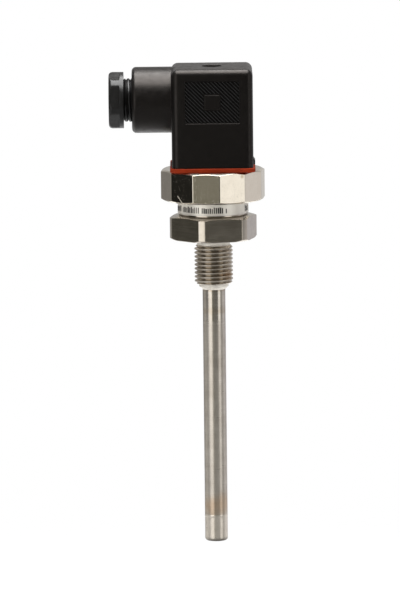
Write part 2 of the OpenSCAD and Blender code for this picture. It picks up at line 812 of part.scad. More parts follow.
module cable_seal() {
    color("#303030") on_gland_axis() translate([0, 0, seal_floor_x + press_gap])
        difference() {
            bevelled_rod(seal_d, seal_l, seal_bevel / 2, seal_bevel);
            translate([0, 0, -past]) cylinder(h = seal_l + 2 * past, d = cable_hole_d);
        }
}

module gland_washer() {
    color("gray") on_gland_axis() translate([0, 0, gland_shank_x - washer_t - press_gap])
        tube(gland_d - 2 * washer_inset, cable_hole_d + 2 * cable_play, washer_t);
}

// Gland nut: threaded shank, round collar and hexagonal head with a domed outer end
module gland_nut() {
    r = gland_turned_d / 2;
    color("#2b2a29") on_gland_axis() difference() {
        union() {
            translate([0, 0, gland_shank_x])
                bevelled_rod(gland_d, gland_shank_l + past, gland_bevel, press_gap);
            translate([0, 0, gland_head_x]) {
                bevelled_rod(gland_turned_d, gland_collar_l, fit_gap, fit_gap);
                intersection() {
                    rotate([0, 0, gland_turn]) prism_af(6, gland_af, gland_head_l);
                    rotate_extrude() {
                        square([r - gland_dome, gland_head_l]);
                        square([r, gland_head_l - gland_dome]);
                        translate([r - gland_dome, gland_head_l - gland_dome]) intersection() {
                            circle(gland_dome);
                            square(gland_dome);
                        }
                    }
                }
            }
        }
        translate([0, 0, gland_shank_x - past])
            cylinder(h = gland_shank_l + gland_head_l + 2 * past, d = cable_hole_d);
    }
}

stem_tube();
end_plug();
sensing_element();
insulator();
lead_wire_1();
lead_wire_2();
lead_wire_3();
earth_lead();
potting();
process_fitting();
union_nut();
carrier_seal();
pin_carrier();
screw_insert();
blade_1();
blade_2();
blade_3();
earth_blade();
gasket();
socket_housing();
terminal_insert();
contact_1();
contact_2();
contact_3();
earth_contact();
terminal_screws();
screw_seal();
fixing_screw();
cable_seal();
gland_washer();
gland_nut();
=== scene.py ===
"""Screw-in resistance thermometer with a rectangular plug-in connector head.

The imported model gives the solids, their bodies and their joints. This script dresses
them: it rebuilds the threaded, faceted and moulded pieces with their real threads,
edge radii, ribs and markings, gives every other piece its material, and sets the
floor, the lights and the camera. Sizes are in millimetres, and meshes in metres.
"""

from __future__ import annotations

import logging
import math
from collections.abc import Callable, Sequence
from dataclasses import dataclass
from enum import Enum
from typing import ClassVar

import bmesh
import bpy
from mathutils import Matrix, Vector

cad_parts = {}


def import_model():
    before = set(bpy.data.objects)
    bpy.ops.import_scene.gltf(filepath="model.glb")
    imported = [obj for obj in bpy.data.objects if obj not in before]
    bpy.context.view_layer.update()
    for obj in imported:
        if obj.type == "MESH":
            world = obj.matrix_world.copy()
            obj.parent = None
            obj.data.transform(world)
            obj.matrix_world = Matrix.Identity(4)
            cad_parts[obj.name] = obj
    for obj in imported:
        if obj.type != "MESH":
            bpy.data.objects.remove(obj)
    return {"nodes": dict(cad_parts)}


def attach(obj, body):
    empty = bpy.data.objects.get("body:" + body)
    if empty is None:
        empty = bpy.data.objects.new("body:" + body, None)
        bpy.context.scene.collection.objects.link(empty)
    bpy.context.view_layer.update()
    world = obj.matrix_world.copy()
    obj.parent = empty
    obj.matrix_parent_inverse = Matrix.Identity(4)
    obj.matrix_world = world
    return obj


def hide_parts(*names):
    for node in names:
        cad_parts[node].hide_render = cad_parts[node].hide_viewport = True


MM = 0.001
RENDER_HEIGHT = 614
LOG = logging.getLogger("probe")

# Corners closer than this, in millimetres, are one.
MERGE = 0.001
# Edges past this angle, in degrees, are shaded sharp, and get a radius if a mould made them.
SHARP = 35.0
# Faces of a CAD node that meet under this angle, in degrees, are one.
FLAT = 0.2
# Short sides that replace a softened corner, and faces across a mould's edge radius
CORNER_STEPS = 3
# The most of a side's length that a softened corner takes from it
CORNER_SHARE = 0.45
# Angles closer than this, in degrees, are one.
SAME_ANGLE = 0.02
# How much more a large face counts than a small one in the shading of what they share
FACE_WEIGHT = 90

Tree = bpy.types.NodeTree
Node = bpy.types.Node
Piece = bpy.types.Object
Outline = list[tuple[float, float]]

# The CAD nodes' objects by name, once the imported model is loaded
CAD: dict[str, Piece] = {}


# ---- colour, nodes and meshes ----


def linear(colour: str) -> tuple[float, float, float, float]:
    """Turns an sRGB hex colour into linear red, green, blue and alpha.

    Args:
        colour: six hex digits, such as "c8c0b4".

    Returns:
        The four channels that a colour socket takes.
    """
    channels = [int(colour[i : i + 2], 16) / 255 for i in (0, 2, 4)]
    toned = [c / 12.92 if c <= 0.04045 else ((c + 0.055) / 1.055) ** 2.4 for c in channels]
    return (*toned, 1.0)


def add_node(
    tree: Tree,
    kind: str,
    links: dict | None = None,
    stops: Sequence[tuple[float, tuple]] = (),
    **settings: object,
) -> Node:
    """Adds a node to a shader or geometry tree, with its settings and links.

    Args:
        tree: the tree that gets the node.
        kind: the node's type name.
        links: for an input's name or number, its value, or the socket that feeds it. A
            node feeds it from its first live output, and each of a list feeds it too.
        stops: a colour ramp's positions and colours.
        settings: the node's own properties.

    Returns:
        The new node.
    """
    node = tree.nodes.new(kind)
    for name, value in settings.items():
        setattr(node, name, value)
    for key, value in (links or {}).items():
        for source in value if isinstance(value, list) else [value]:
            if isinstance(source, Node):
                source = next(output for output in source.outputs if output.enabled)
            if isinstance(source, bpy.types.NodeSocket):
                tree.links.new(source, node.inputs[key])
            else:
                node.inputs[key].default_value = source
    if stops:
        ramp = node.color_ramp
        while len(ramp.elements) < len(stops):
            ramp.elements.new(1.0)
        for element, (position, colour) in zip(ramp.elements, stops):
            element.position = position
            element.color = colour
    return node


def new_piece(name: str, mesh: bpy.types.Mesh, *finishes: Finish) -> Piece:
    """Puts a mesh in the scene as a piece at the origin.

    Args:
        name: the piece's name.
        mesh: its mesh, in metres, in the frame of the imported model.
        finishes: its finishes, in the order of its material slots.

    Returns:
        The piece's object.
    """
    mesh.name = name
    mesh.materials.clear()
    for finish in finishes:
        mesh.materials.append(finish.material())
    piece = bpy.data.objects.new(name, mesh)
    bpy.context.scene.collection.objects.link(piece)
    return piece


def closed_mesh(name: str, corners: Sequence, faces: Sequence, flat: float = 0.0) -> bpy.types.Mesh:
    """Makes a closed, outward-facing, smooth-shaded mesh from corners and faces.

    Args:
        name: the mesh's name.
        corners: the corners, in metres.
        faces: the corner numbers of each face.
        flat: the angle in degrees under which faces are joined, if they are.

    Returns:
        The mesh.
    """
    mesh = bpy.data.meshes.new(name)
    mesh.from_pydata(corners, [], faces)
    shape = bmesh.new()
    shape.from_mesh(mesh)
    bmesh.ops.remove_doubles(shape, verts=shape.verts, dist=MERGE * MM)
    if flat:
        bmesh.ops.dissolve_limit(
            shape, angle_limit=math.radians(flat), verts=shape.verts, edges=shape.edges
        )
    bmesh.ops.recalc_face_normals(shape, faces=shape.faces)
    if shape.calc_volume(signed=True) < 0:
        bmesh.ops.reverse_faces(shape, faces=shape.faces)
    loose = sum(len(edge.link_faces) != 2 for edge in shape.edges)
    if loose:
        LOG.warning("%s has %d edges that are not closed", name, loose)
    shape.to_mesh(mesh)
    shape.free()
    mesh.shade_smooth()
    mesh.set_sharp_from_angle(angle=math.radians(SHARP))
    return mesh


def soften(outline: Outline, radii: dict[int, float]) -> Outline:
    """Rounds chosen corners of a closed outline, always with as many points.

    Args:
        outline: the corners, as (radius, height).
        radii: for a corner's number, the length cut from each side of it.

    Returns:
        The outline with its corners rounded.
    """
    rounded: Outline = []
    for i, corner in enumerate(outline):
        if i not in radii:
            rounded.append(corner)
            continue
        here = Vector(corner)
        before = Vector(outline[i - 1]) - here
        after = Vector(outline[(i + 1) % len(outline)]) - here
        reach = min(radii[i], CORNER_SHARE * min(before.length, after.length))
        start = here + before.normalized() * reach
        end = here + after.normalized() * reach
        for step in range(CORNER_STEPS + 1):
            t = step / CORNER_STEPS
            point = start * (1 - t) ** 2 + here * 2 * t * (1 - t) + end * t * t
            rounded.append((point.x, point.y))
    return rounded


def turn_shell(
    name: str,
    outline_at: Callable[[float], Outline],
    angles: Sequence[float],
    place: Matrix | None = None,
) -> bpy.types.Mesh:
    """Closes a ring-shaped shell through one closed outline for each angle.

    Args:
        name: the mesh's name.
        outline_at: gives the outline, as (radius, height), at an angle in degrees.
        angles: the angles, from 0 to 360 with both.
        place: where the shell goes, if not about the Z axis.

    Returns:
        The mesh, in metres.
    """
    corners = []
    for angle in angles:
        row = outline_at(angle)
        across, along = math.cos(math.radians(angle)), math.sin(math.radians(angle))
        corners += [Vector((r * across, r * along, z)) for r, z in row]
    if place is not None:
        corners = [place @ corner for corner in corners]
    count = len(row)
    faces = []
    for ring in range(0, len(corners) - count, count):
        for i in range(count):
            after = (i + 1) % count
            faces.append((ring + i, ring + count + i, ring + count + after, ring + after))
    return closed_mesh(name, [[c * MM for c in corner] for corner in corners], faces)


def spread_angles(
    step: float, corners: Sequence[float] = (), halves: Sequence[float] = ()
) -> list[float]:
    """Spaces angles over a full turn, closer at a prism's corners.

    Args:
        step: the usual distance between angles, in degrees.
        corners: the angles of the corners.
        halves: the distances on each side of a corner where an angle is added.

    Returns:
        The angles from 0 to 360, in order.
    """
    found = {round(step * i, 4) for i in range(int(360 / step) + 1)} | {360.0}
    for corner in corners:
        for half in halves:
            found |= {round((corner - half) % 360, 4), round((corner + half) % 360, 4)}
    kept: list[float] = []
    for angle in sorted(found):
        if not kept or angle - kept[-1] > SAME_ANGLE:
            kept.append(angle)
    kept[-1] = 360.0
    return kept


def weigh_normals(piece: Piece) -> None:
    """Shades large flats flat up to their rounded edges.

    Args:
        piece: the piece whose normals are weighed by face area.
    """
    modifier = piece.modifiers.new("flat_faces", "WEIGHTED_NORMAL")
    modifier.keep_sharp = True
    modifier.weight = FACE_WEIGHT


def rounded_copy(node: str, name: str, finish: Finish, radius: float) -> Piece:
    """Makes a closed piece of a CAD node's loose triangles, with its mould's edge radius.

    Args:
        node: the CAD node's name.
        name: the piece's name.
        finish: the piece's finish.
        radius: the edge radius, in millimetres.

    Returns:
        The piece's object.
    """
    source = CAD[node].data
    corners = [v.co[:] for v in source.vertices]
    faces = [p.vertices[:] for p in source.polygons]
    piece = new_piece(name, closed_mesh(name, corners, faces, FLAT), finish)
    modifier = piece.modifiers.new("edge_radius", "BEVEL")
    modifier.width = radius * MM
    modifier.segments = CORNER_STEPS
    modifier.limit_method = "ANGLE"
    modifier.angle_limit = math.radians(SHARP)
    modifier.harden_normals = True
    return piece


def open_tree(name: str, values: dict[str, float]) -> tuple[Tree, bpy.types.NodeOutputs]:
    """Starts a geometry tree with named inputs and one geometry output.

    Args:
        name: the tree's name.
        values: for an input's name, its value, whole for a count or a seed.

    Returns:
        The tree, and the outputs of its group input.
    """
    tree = bpy.data.node_groups.new(name, "GeometryNodeTree")
    tree.interface.new_socket("Geometry", in_out="OUTPUT", socket_type="NodeSocketGeometry")
    for label, value in values.items():
        kind = "NodeSocketInt" if isinstance(value, int) else "NodeSocketFloat"
        tree.interface.new_socket(label, in_out="INPUT", socket_type=kind)
    return tree, add_node(tree, "NodeGroupInput").outputs


def run_tree(tree: Tree, shape: Node, values: dict[str, float], finish: Finish) -> Piece:
    """Ends a geometry tree in real, dressed meshes, and keeps its result as a plain piece.

    Args:
        tree: the tree, which has the piece's name.
        shape: the node whose geometry it ends in.
        values: for an input's name, its value.
        finish: the piece's finish.

    Returns:
        The piece's object, with no modifier.
    """
    real = add_node(tree, "GeometryNodeRealizeInstances", {0: shape})
    dress = {"Geometry": real, "Material": finish.material()}
    add_node(tree, "NodeGroupOutput", {0: add_node(tree, "GeometryNodeSetMaterial", dress)})
    carrier = bpy.data.objects.new("carrier", bpy.data.meshes.new("carrier"))
    modifier = carrier.modifiers.new("tree", "NODES")
    modifier.node_group = tree
    for item in tree.interface.items_tree:
        if item.in_out == "INPUT":
            modifier[item.identifier] = values[item.name]
    bpy.context.scene.collection.objects.link(carrier)
    graph = bpy.context.evaluated_depsgraph_get()
    mesh = bpy.data.meshes.new_from_object(carrier.evaluated_get(graph), depsgraph=graph)
    carrier.modifiers.clear()
    bpy.data.objects.remove(carrier)
    mesh.shade_flat()
    return new_piece(tree.name, mesh, finish)


# ---- finishes ----


@dataclass(frozen=True)
class Finish:
    """A surface finish that makes one node material, with coordinates in millimetres."""

    name: str

    def material(self) -> bpy.types.Material:
        """Gives the finish's material, and makes it the first time.

        Returns:
            The material.
        """
        known = bpy.data.materials.get(self.name)
        if known is not None:
            return known
        material = bpy.data.materials.new(self.name)
        material.use_nodes = True
        tree = material.node_tree
        tree.nodes.clear()
        metres = add_node(tree, "ShaderNodeTexCoord").outputs["Object"]
        place = add_node(
            tree, "ShaderNodeVectorMath", {0: metres, "Scale": 1 / MM}, operation="SCALE"
        )
        shader = add_node(tree, "ShaderNodeBsdfPrincipled", self.surface(tree, place))
        add_node(tree, "ShaderNodeOutputMaterial", {"Surface": shader})
        return material

    def surface(self, tree: Tree, place: Node) -> dict[str, object]:
        """Adds the finish's own nodes.

        Args:
            tree: the material's tree.
            place: the node that gives the position in millimetres.

        Returns:
            For an input of the surface shader, its value or the node that feeds it.
        """
        raise NotImplementedError


class Grain(Enum):
    """Which way a finish's fine lines run."""

    ROUND = (0.05, 0.05, 1.0)
    ALONG = (1.0, 1.0, 0.04)
    EVEN = (1.0, 1.0, 1.0)


@dataclass(frozen=True)
class HeatTint:
    """A ragged band of colour round the axis, stronger towards +X up to side. It gives the temper
    and oil colours, and the painted shade at the plug's rim.
    """

    height: float
    half: float
    strength: float
    colour: str
    side: float = 0.0

    # How far clouds shift the band, and where it starts and is whole, in half heights
    RAGGED: ClassVar[float] = 0.9
    START: ClassVar[float] = 1.35
    WHOLE: ClassVar[float] = 0.45


@dataclass(frozen=True)
class TurnedSteel(Finish):
    """Turned or ground 316 stainless steel.

    The lathe and the centreless grinder leave fine rings round the axis, so the steel
    shows sharp bands of light along its length that are slightly soft across the rings.
    """

    light: str = "cdc6bc"
    dark: str = "b8b0a5"
    roughness: float = 0.2
    dulling: float = 0.0
    dull_below: float = -1000.0
    dull_run: float = 1.5
    ring: float = 0.4
    ring_depth: float = 0.0012
    ring_gloss: float = 0.12
    ring_tone: float = 0.5
    clouds_per_mm: float = 0.22
    contrast: tuple[float, float] = (0.5, 1.0)
    grain: Grain = Grain.ROUND
    metal: float = 1.0
    tints: tuple[HeatTint, ...] = ()

    def surface(self, tree: Tree, place: Node) -> dict[str, object]:
        """Adds rings, soft clouding, temper colours and bands of painted shade.

        Args:
            tree: the material's tree.
            place: the node that gives the position in millimetres.

        Returns:
            For an input of the surface shader, its value or the node that feeds it.
        """
        lined = add_node(tree, "ShaderNodeMapping", {"Vector": place, "Scale": self.grain.value})
        # Real tool marks are under 0.1 mm apart, too fine to show, so they are drawn coarser.
        fine = {"Vector": lined, "Scale": 1 / self.ring, "Detail": 3.0, "Roughness": 0.6}
        rings = add_node(tree, "ShaderNodeTexNoise", fine)
        broad = {"Vector": place, "Scale": self.clouds_per_mm, "Detail": 3.0}
        cloud = add_node(tree, "ShaderNodeTexNoise", broad)
        both = {0: rings, 1: self.ring_tone, 2: cloud}
        mixed = add_node(tree, "ShaderNodeMath", both, operation="MULTIPLY_ADD")
        spread = {"Value": mixed, "From Min": self.contrast[0], "From Max": self.contrast[1]}
        share = add_node(tree, "ShaderNodeMapRange", spread)
        tones = {0: share, 6: linear(self.dark), 7: linear(self.light)}
        colour = add_node(tree, "ShaderNodeMix", tones, data_type="RGBA")
        across, _, height = add_node(tree, "ShaderNodeSeparateXYZ", {0: place}).outputs
        for tint in self.tints:
            away = add_node(
                tree, "ShaderNodeMath", {0: height, 1: tint.height}, operation="SUBTRACT"
            )
            away = add_node(tree, "ShaderNodeMath", {0: away}, operation="ABSOLUTE")
            shift = {0: cloud, 1: tint.half * tint.RAGGED, 2: away}
            ragged = add_node(tree, "ShaderNodeMath", shift, operation="MULTIPLY_ADD")
            band = {
                "Value": ragged,
                "From Min": tint.half * tint.START,
                "From Max": tint.half * tint.WHOLE,
                "To Max": tint.strength,
            }
            mask = add_node(tree, "ShaderNodeMapRange", band, interpolation_type="SMOOTHSTEP")
            if tint.side:
                lean = add_node(
                    tree, "ShaderNodeMapRange", {"Value": across, "From Max": tint.side}
                )
                mask = add_node(tree, "ShaderNodeMath", {0: mask, 1: lean}, operation="MULTIPLY")
            tones = {0: mask, 6: colour, 7: linear(tint.colour)}
            colour = add_node(tree, "ShaderNodeMix", tones, data_type="RGBA")
        duller = {
            "Value": height,
            "From Min": self.dull_below + self.dull_run,
            "From Max": self.dull_below - self.dull_run,
            "To Min": self.roughness - self.ring_gloss / 2,
            "To Max": self.roughness + self.dulling - self.ring_gloss / 2,
        }
        dull = add_node(tree, "ShaderNodeMapRange", duller, interpolation_type="SMOOTHSTEP")
        rough = {0: rings, 1: self.ring_gloss, 2: dull}
        return {
            "Base Color": colour,
            "Metallic": self.metal,
            "Roughness": add_node(tree, "ShaderNodeMath", rough, operation="MULTIPLY_ADD"),
            "Normal": add_node(
                tree, "ShaderNodeBump", {"Height": rings, "Distance": self.ring_depth * MM}
            ),
        }


@dataclass(frozen=True)
class Scratch:
    """A straight scratch between two points, in millimetres."""

    start: tuple[float, float, float]
    end: tuple[float, float, float]
    width: float = 0.12

    def mask(self, tree: Tree, place: Node) -> Node:
        """Adds nodes that give 1 on the scratch and 0 away from it.

        Args:
            tree: the material's tree.
            place: the node that gives the position in millimetres.

        Returns:
            The mask's node.
        """
        start, along = Vector(self.start), Vector(self.end) - Vector(self.start)
        offset = add_node(tree, "ShaderNodeVectorMath", {0: place, 1: start}, operation="SUBTRACT")
        project = {0: offset, 1: along / along.length_squared}
        share = add_node(tree, "ShaderNodeVectorMath", project, operation="DOT_PRODUCT")
        held = add_node(tree, "ShaderNodeClamp", {"Value": share})
        foot = add_node(
            tree, "ShaderNodeVectorMath", {0: along, "Scale": held}, operation="SCALE"
        )
        away = add_node(tree, "ShaderNodeVectorMath", {0: offset, 1: foot}, operation="DISTANCE")
        edge = {"Value": away, "From Min": self.width, "From Max": self.width * 0.5}
        return add_node(tree, "ShaderNodeMapRange", edge)


@dataclass(frozen=True)
class NickelPlate(Finish):
    """Milled brass with a bright nickel plating.

    The plating is a warm white mirror, slightly pitted from the milling under it, and
    handling has left small scratches and a stain on it.
    """

    light: str = "dfd7c9"
    dark: str = "d1c8b9"
    roughness: float = 0.1
    marked_roughness: float = 0.55
    clouds_per_mm: float = 0.3
    pit: float = 0.4
    pit_depth: float = 0.006
    mark_depth: float = 0.018
    specks: tuple[float, float] = (0.59, 0.8)
    scratches: tuple[Scratch, ...] = ()
    stain: tuple[float, float, float] = (0.0, 0.0, 0.0)
    stain_colour: str = "8a7448"
    stain_strength: float = 0.55
    stain_edge: tuple[float, float] = (1.3, 0.6)
    stain_ragged: float = 0.8

    def surface(self, tree: Tree, place: Node) -> dict[str, object]:
        """Adds pits, clouding, scratches and a stain.

        Args:
            tree: the material's tree.
            place: the node that gives the position in millimetres.

        Returns:
            For an input of the surface shader, its value or the node that feeds it.
        """
        broad = {"Vector": place, "Scale": self.clouds_per_mm, "Detail": 4.0}
        cloud = add_node(tree, "ShaderNodeTexNoise", broad)
        fine = {"Vector": place, "Scale": 1 / self.pit, "Detail": 5.0, "Roughness": 0.7}
        pits = add_node(tree, "ShaderNodeTexNoise", fine)
        speck = {"Value": pits, "From Min": self.specks[0], "From Max": self.specks[1]}
        marks = add_node(tree, "ShaderNodeMapRange", speck, interpolation_type="SMOOTHSTEP")
        for scratch in self.scratches:
            line = scratch.mask(tree, place)
            marks = add_node(tree, "ShaderNodeMath", {0: marks, 1: line}, operation="MAXIMUM")
        tones = {0: cloud, 6: linear(self.dark), 7: linear(self.light)}
        colour = add_node(tree, "ShaderNodeMix", tones, data_type="RGBA")
        away = add_node(
            tree, "ShaderNodeVectorMath", {0: place, 1: self.stain}, operation="DISTANCE"
        )
        shift = {0: pits, 1: self.stain_ragged, 2: away}
        ragged = add_node(tree, "ShaderNodeMath", shift, operation="MULTIPLY_ADD")
        edge = {
            "Value": ragged,
            "From Min": self.stain_edge[0],
            "From Max": self.stain_edge[1],
            "To Max": self.stain_strength,
        }
        spot = add_node(tree, "ShaderNodeMapRange", edge)
        tones = {0: spot, 6: colour, 7: linear(self.stain_colour)}
        gloss = {"Value": marks, "To Min": self.roughness, "To Max": self.marked_roughness}
        deep = {0: marks, 1: -self.mark_depth / self.pit_depth, 2: pits}
        height = add_node(tree, "ShaderNodeMath", deep, operation="MULTIPLY_ADD")
        relief = {"Height": height, "Distance": self.pit_depth * MM}
        return {
            "Base Color": add_node(tree, "ShaderNodeMix", tones, data_type="RGBA"),
            "Metallic": 1.0,
            "Roughness": add_node(tree, "ShaderNodeMapRange", gloss),
            "Normal": add_node(tree, "ShaderNodeBump", relief),
        }


@dataclass(frozen=True)
class MouldedPlastic(Finish):
    """Injection-moulded plastic from a spark-eroded mould.

    The mould gives a fine matt grain. The melt's flow gives faint clouds that show in
    the gloss of the surface more than in its colour.
    """

    light: str = "090808"
    dark: str = "050404"
    roughness: float = 0.32
    spread: float = 0.14
    grain: float = 0.35
    grain_depth: float = 0.01
    grain_gloss: float = 0.1
    cloud: float = 5.0
    contrast: tuple[float, float] = (0.35, 0.65)
    level: float = 0.5
    tint: str = "ffffff"
    ior: float = 1.53

    def surface(self, tree: Tree, place: Node) -> dict[str, object]:
        """Adds grain and clouding.

        Args:
            tree: the material's tree.
            place: the node that gives the position in millimetres.

        Returns:
            For an input of the surface shader, its value or the node that feeds it.
        """
        broad = {"Vector": place, "Scale": 1 / self.cloud, "Detail": 5.0, "Roughness": 0.62}
        cloud = add_node(tree, "ShaderNodeTexNoise", broad)
        clear = {"Value": cloud, "From Min": self.contrast[0], "From Max": self.contrast[1]}
        share = add_node(tree, "ShaderNodeMapRange", clear)
        # A mould's grain is about 0.1 mm, too fine to show, so it is drawn coarser.
        fine = add_node(tree, "ShaderNodeTexNoise", {"Vector": place, "Scale": 1 / self.grain})
        tones = {0: share, 6: linear(self.dark), 7: linear(self.light)}
        gloss = {
            "Value": share,
            "To Min": self.roughness + self.spread / 2,
            "To Max": self.roughness - self.spread / 2,
        }
        rough = {0: fine, 1: self.grain_gloss, 2: add_node(tree, "ShaderNodeMapRange", gloss)}
        relief = {"Height": fine, "Distance": self.grain_depth * MM}
        return {
            "Base Color": add_node(tree, "ShaderNodeMix", tones, data_type="RGBA"),
            "IOR": self.ior,
            "Specular IOR Level": self.level,
            "Specular Tint": linear(self.tint),
            "Roughness": add_node(tree, "ShaderNodeMath", rough, operation="MULTIPLY_ADD"),
            "Normal": add_node(tree, "ShaderNodeBump", relief),
        }


@dataclass(frozen=True)
class RibbedPlastic(MouldedPlastic):
    """Moulded grip ribs with painted shade: towards the grooves their colour darkens and their
    reflection fades.
    """

    # Colour of the painted shade at the grooves' foot, and the distances from the housing's middle,
    # in millimetres, where that shade is whole and where it ends
    groove: str = "010101"
    low: float = 13.94
    high: float = 14.02

    def surface(self, tree: Tree, place: Node) -> dict[str, object]:
        """Adds the plastic's grain, and painted shade that darkens the grooves.

        Args:
            tree: the material's tree.
            place: the node that gives the position in millimetres.

        Returns:
            For an input of the surface shader, its value or the node that feeds it.
        """
        found = super().surface(tree, place)
        # Painted shade: under the distance high, the colour turns to the groove colour and the
        # reflection fades, wholly at low and under.
        out = add_node(tree, "ShaderNodeSeparateXYZ", {0: place}).outputs[1]
        out = add_node(tree, "ShaderNodeMath", {0: out}, operation="ABSOLUTE")
        share = add_node(
            tree, "ShaderNodeMapRange", {"Value": out, "From Min": self.low, "From Max": self.high}
        )
        tones = {0: share, 6: linear(self.groove), 7: found["Base Color"]}
        found["Base Color"] = add_node(tree, "ShaderNodeMix", tones, data_type="RGBA")
        found["Specular IOR Level"] = add_node(
            tree, "ShaderNodeMath", {0: share, 1: self.level}, operation="MULTIPLY"
        )
        return found


@dataclass(frozen=True)
class WovenSleeve(Finish):
    """Glass-silk sleeving braided over a lead: crossing threads under a dull varnish."""

    light: str = "e4dfd2"
    dark: str = "a59d8c"
    roughness: float = 0.7
    thread: float = 0.3
    thread_depth: float = 0.03
    lean: float = 0.6

    # The period of a wave texture's bands, in its own unit
    PERIOD: ClassVar[float] = 0.3

    def surface(self, tree: Tree, place: Node) -> dict[str, object]:
        """Adds two crossing sets of threads.

        Args:
            tree: the material's tree.
            place: the node that gives the position in millimetres.

        Returns:
            For an input of the surface shader, its value or the node that feeds it.
        """
        sets = []
        for turn in (self.lean, -self.lean):
            leaned = add_node(
                tree, "ShaderNodeMapping", {"Vector": place, "Rotation": (turn, turn, 0.0)}
            )
            waves = {"Vector": leaned, "Scale": self.PERIOD / self.thread}
            wave = add_node(tree, "ShaderNodeTexWave", waves, bands_direction="Z")
            sets.append(wave.outputs["Fac"])
        weave = add_node(tree, "ShaderNodeMath", {0: sets[0], 1: sets[1]}, operation="MAXIMUM")
        tones = {0: weave, 6: linear(self.dark), 7: linear(self.light)}
        relief = {"Height": weave, "Distance": self.thread_depth * MM}
        return {
            "Base Color": add_node(tree, "ShaderNodeMix", tones, data_type="RGBA"),
            "Roughness": self.roughness,
            "Normal": add_node(tree, "ShaderNodeBump", relief),
        }


# Ground stem: centreless grinding, duller below the part that a handling sleeve covered,
# with straw temper colours from welding at both ends.
STEM_STEEL = TurnedSteel(
    "ground_stainless_tube",
    dulling=0.1,
    dull_below=-29.0,
    tints=(
        HeatTint(-25.5, 2.2, 0.25, "a08a66"),
        HeatTint(-94.5, 6.0, 0.42, "c49b6c"),
        HeatTint(-17.5, 1.5, 0.4, "a08460"),
    ),
)
# Turned after the tube, so brighter. The dark band at its rim is painted shade, which stands in for
# the dark floor that the rim's chamfer mirrors.
PLUG_STEEL = TurnedSteel(
    "turned_stainless_plug", "e4dcd0", "d4cbbf", roughness=0.3, ring=0.25,
    tints=(HeatTint(-107.4, 1.8, 0.95, "38332d"),),
)
# Turned from bar, with brown traces of cutting oil in the lowest threads.
FITTING_STEEL = TurnedSteel(
    "turned_stainless_fitting", "c6beb2", "b4aba0", roughness=0.17, dulling=0.03,
    dull_below=-2.0, tints=(HeatTint(-12.5, 3.0, 0.45, "a3793f", side=6.0),),
)
# Bead-blasted band: the laser needs a dull ground, which spreads the light round the band.
BAND_STEEL = TurnedSteel(
    "blasted_marking_band", "e8e3da", "dad4ca", roughness=0.4, metal=0.5, ring=0.18
)
# Welded and then pickled: the acid leaves the steel near the weld pale and dull.
PICKLED_STEEL = TurnedSteel(
    "pickled_stainless_weld", "e0dcd4", "cac4ba", roughness=0.5, metal=0.45, ring=0.3,
    ring_depth=0.004, grain=Grain.EVEN,
)
# Cut threads burr slightly at their crests, which are left dull when they are brushed.
CREST_STEEL = TurnedSteel(
    "brushed_thread_crest", "c9c2b7", "b5ada1", roughness=0.45, tints=FITTING_STEEL.tints
)
# Milled before it was plated: a bright mirror with fine pits, one scratch and a brown stain.
NICKEL = NickelPlate(
    "nickel_plated_brass",
    scratches=(Scratch((-12.36, -12.85, 16.54), (-10.78, -14.07, 14.26)),),
    stain=(10.2, -14.97, 23.4),
)
# Moulded polyamide is black right through, with a warm satin gloss.
HOUSING_BLACK = MouldedPlastic("moulded_black_polyamide", level=0.26, tint="fff4ec", cloud=1.8)
# The same plastic, made a little lighter as a painted highlight of the light that the rib crests
# catch, with painted shade in the grooves
RIB_BLACK = RibbedPlastic("polished_black_ribs", "161515", "100f0f", level=0.35)
# Glass fibres near the skin make the gland's polyamide a little greyer.
GLAND_BLACK = MouldedPlastic(
    "glass_filled_black_polyamide", "100f0f", "0a0909", roughness=0.3, level=0.34, cloud=3.0
)
# The plug's inner mouldings are the same plastic, a little greyer where no hand rubs it.
CARRIER_PLASTIC = MouldedPlastic("moulded_carrier_polyamide", "2a2b2c", "202122")
INSERT_PLASTIC = MouldedPlastic("moulded_insert_polyamide", "262524", "1d1c1b")
# Natural acetal is milky white and smooth.
WASHER_PLASTIC = MouldedPlastic("moulded_acetal", "dedad0", "cfcabe", roughness=0.35, ior=1.48)
# Press-cured silicone has a dull skin that carries the mould's grain and a bright cut edge.
ORANGE_RUBBER = MouldedPlastic(
    "press_cured_silicone", "7b2407", "681d05", roughness=0.5, level=0.12, grain=0.5,
    cloud=4.0, ior=1.41,
)
# Carbon black fills nitrile rubber, and its bloom leaves it dull.
BLACK_RUBBER = MouldedPlastic(
    "moulded_nitrile_rubber", "222222", "171717", roughness=0.6, ior=1.52
)
# Poured resin levels itself, so it is smooth and glossy.
RESIN = MouldedPlastic(
    "poured_epoxy_resin", "3a2f22", "2a2219", roughness=0.18, spread=0.05, grain=2.0, ior=1.55
)
# Fired without a glaze, so it is white and matt.
CERAMIC = MouldedPlastic(
    "fired_alumina_ceramic", "efeae0", "ded7c9", roughness=0.55, grain=0.2, cloud=2.5, ior=1.77
)
# Braided glass silk is off-white and dull, and darker between its threads.
SLEEVE = WovenSleeve("glass_silk_sleeve")
# Turned brass is yellow and fairly bright, and tin over stamped brass is grey and duller.
BRASS = TurnedSteel("turned_brass", "c9a869", "b39257", roughness=0.22, ring=0.2)
TINNED_BRASS = TurnedSteel(
    "stamped_tinned_brass", "d6d3cc", "c1bdb4", roughness=0.3, ring=0.3, grain=Grain.ALONG
)
# Zinc plating is bluish and slightly spangled.
ZINC_STEEL = TurnedSteel(
    "zinc_plated_steel", "c5c9cb", "a9adae", roughness=0.32, ring=0.6, grain=Grain.EVEN
)
# A laser anneals the steel's skin to a dull dark oxide with no depth of its own.
LASER_MARK = MouldedPlastic(
    "laser_annealed_oxide", "2c2825", "1e1b19", roughness=0.5, grain=0.2, cloud=1.0
)


def dress_nodes(finishes: dict[str, Finish]) -> list[Piece]:
    """Gives CAD nodes whose shape stays their own finishes.

    Args:
        finishes: for a node's name, its finish.

    Returns:
        The nodes' objects.
    """
    for name, finish in finishes.items():
        materials = CAD[name].data.materials
        for number in range(len(materials)):
            materials[number] = finish.material()
    return [CAD[name] for name in finishes]


# ---- prisms and threads ----


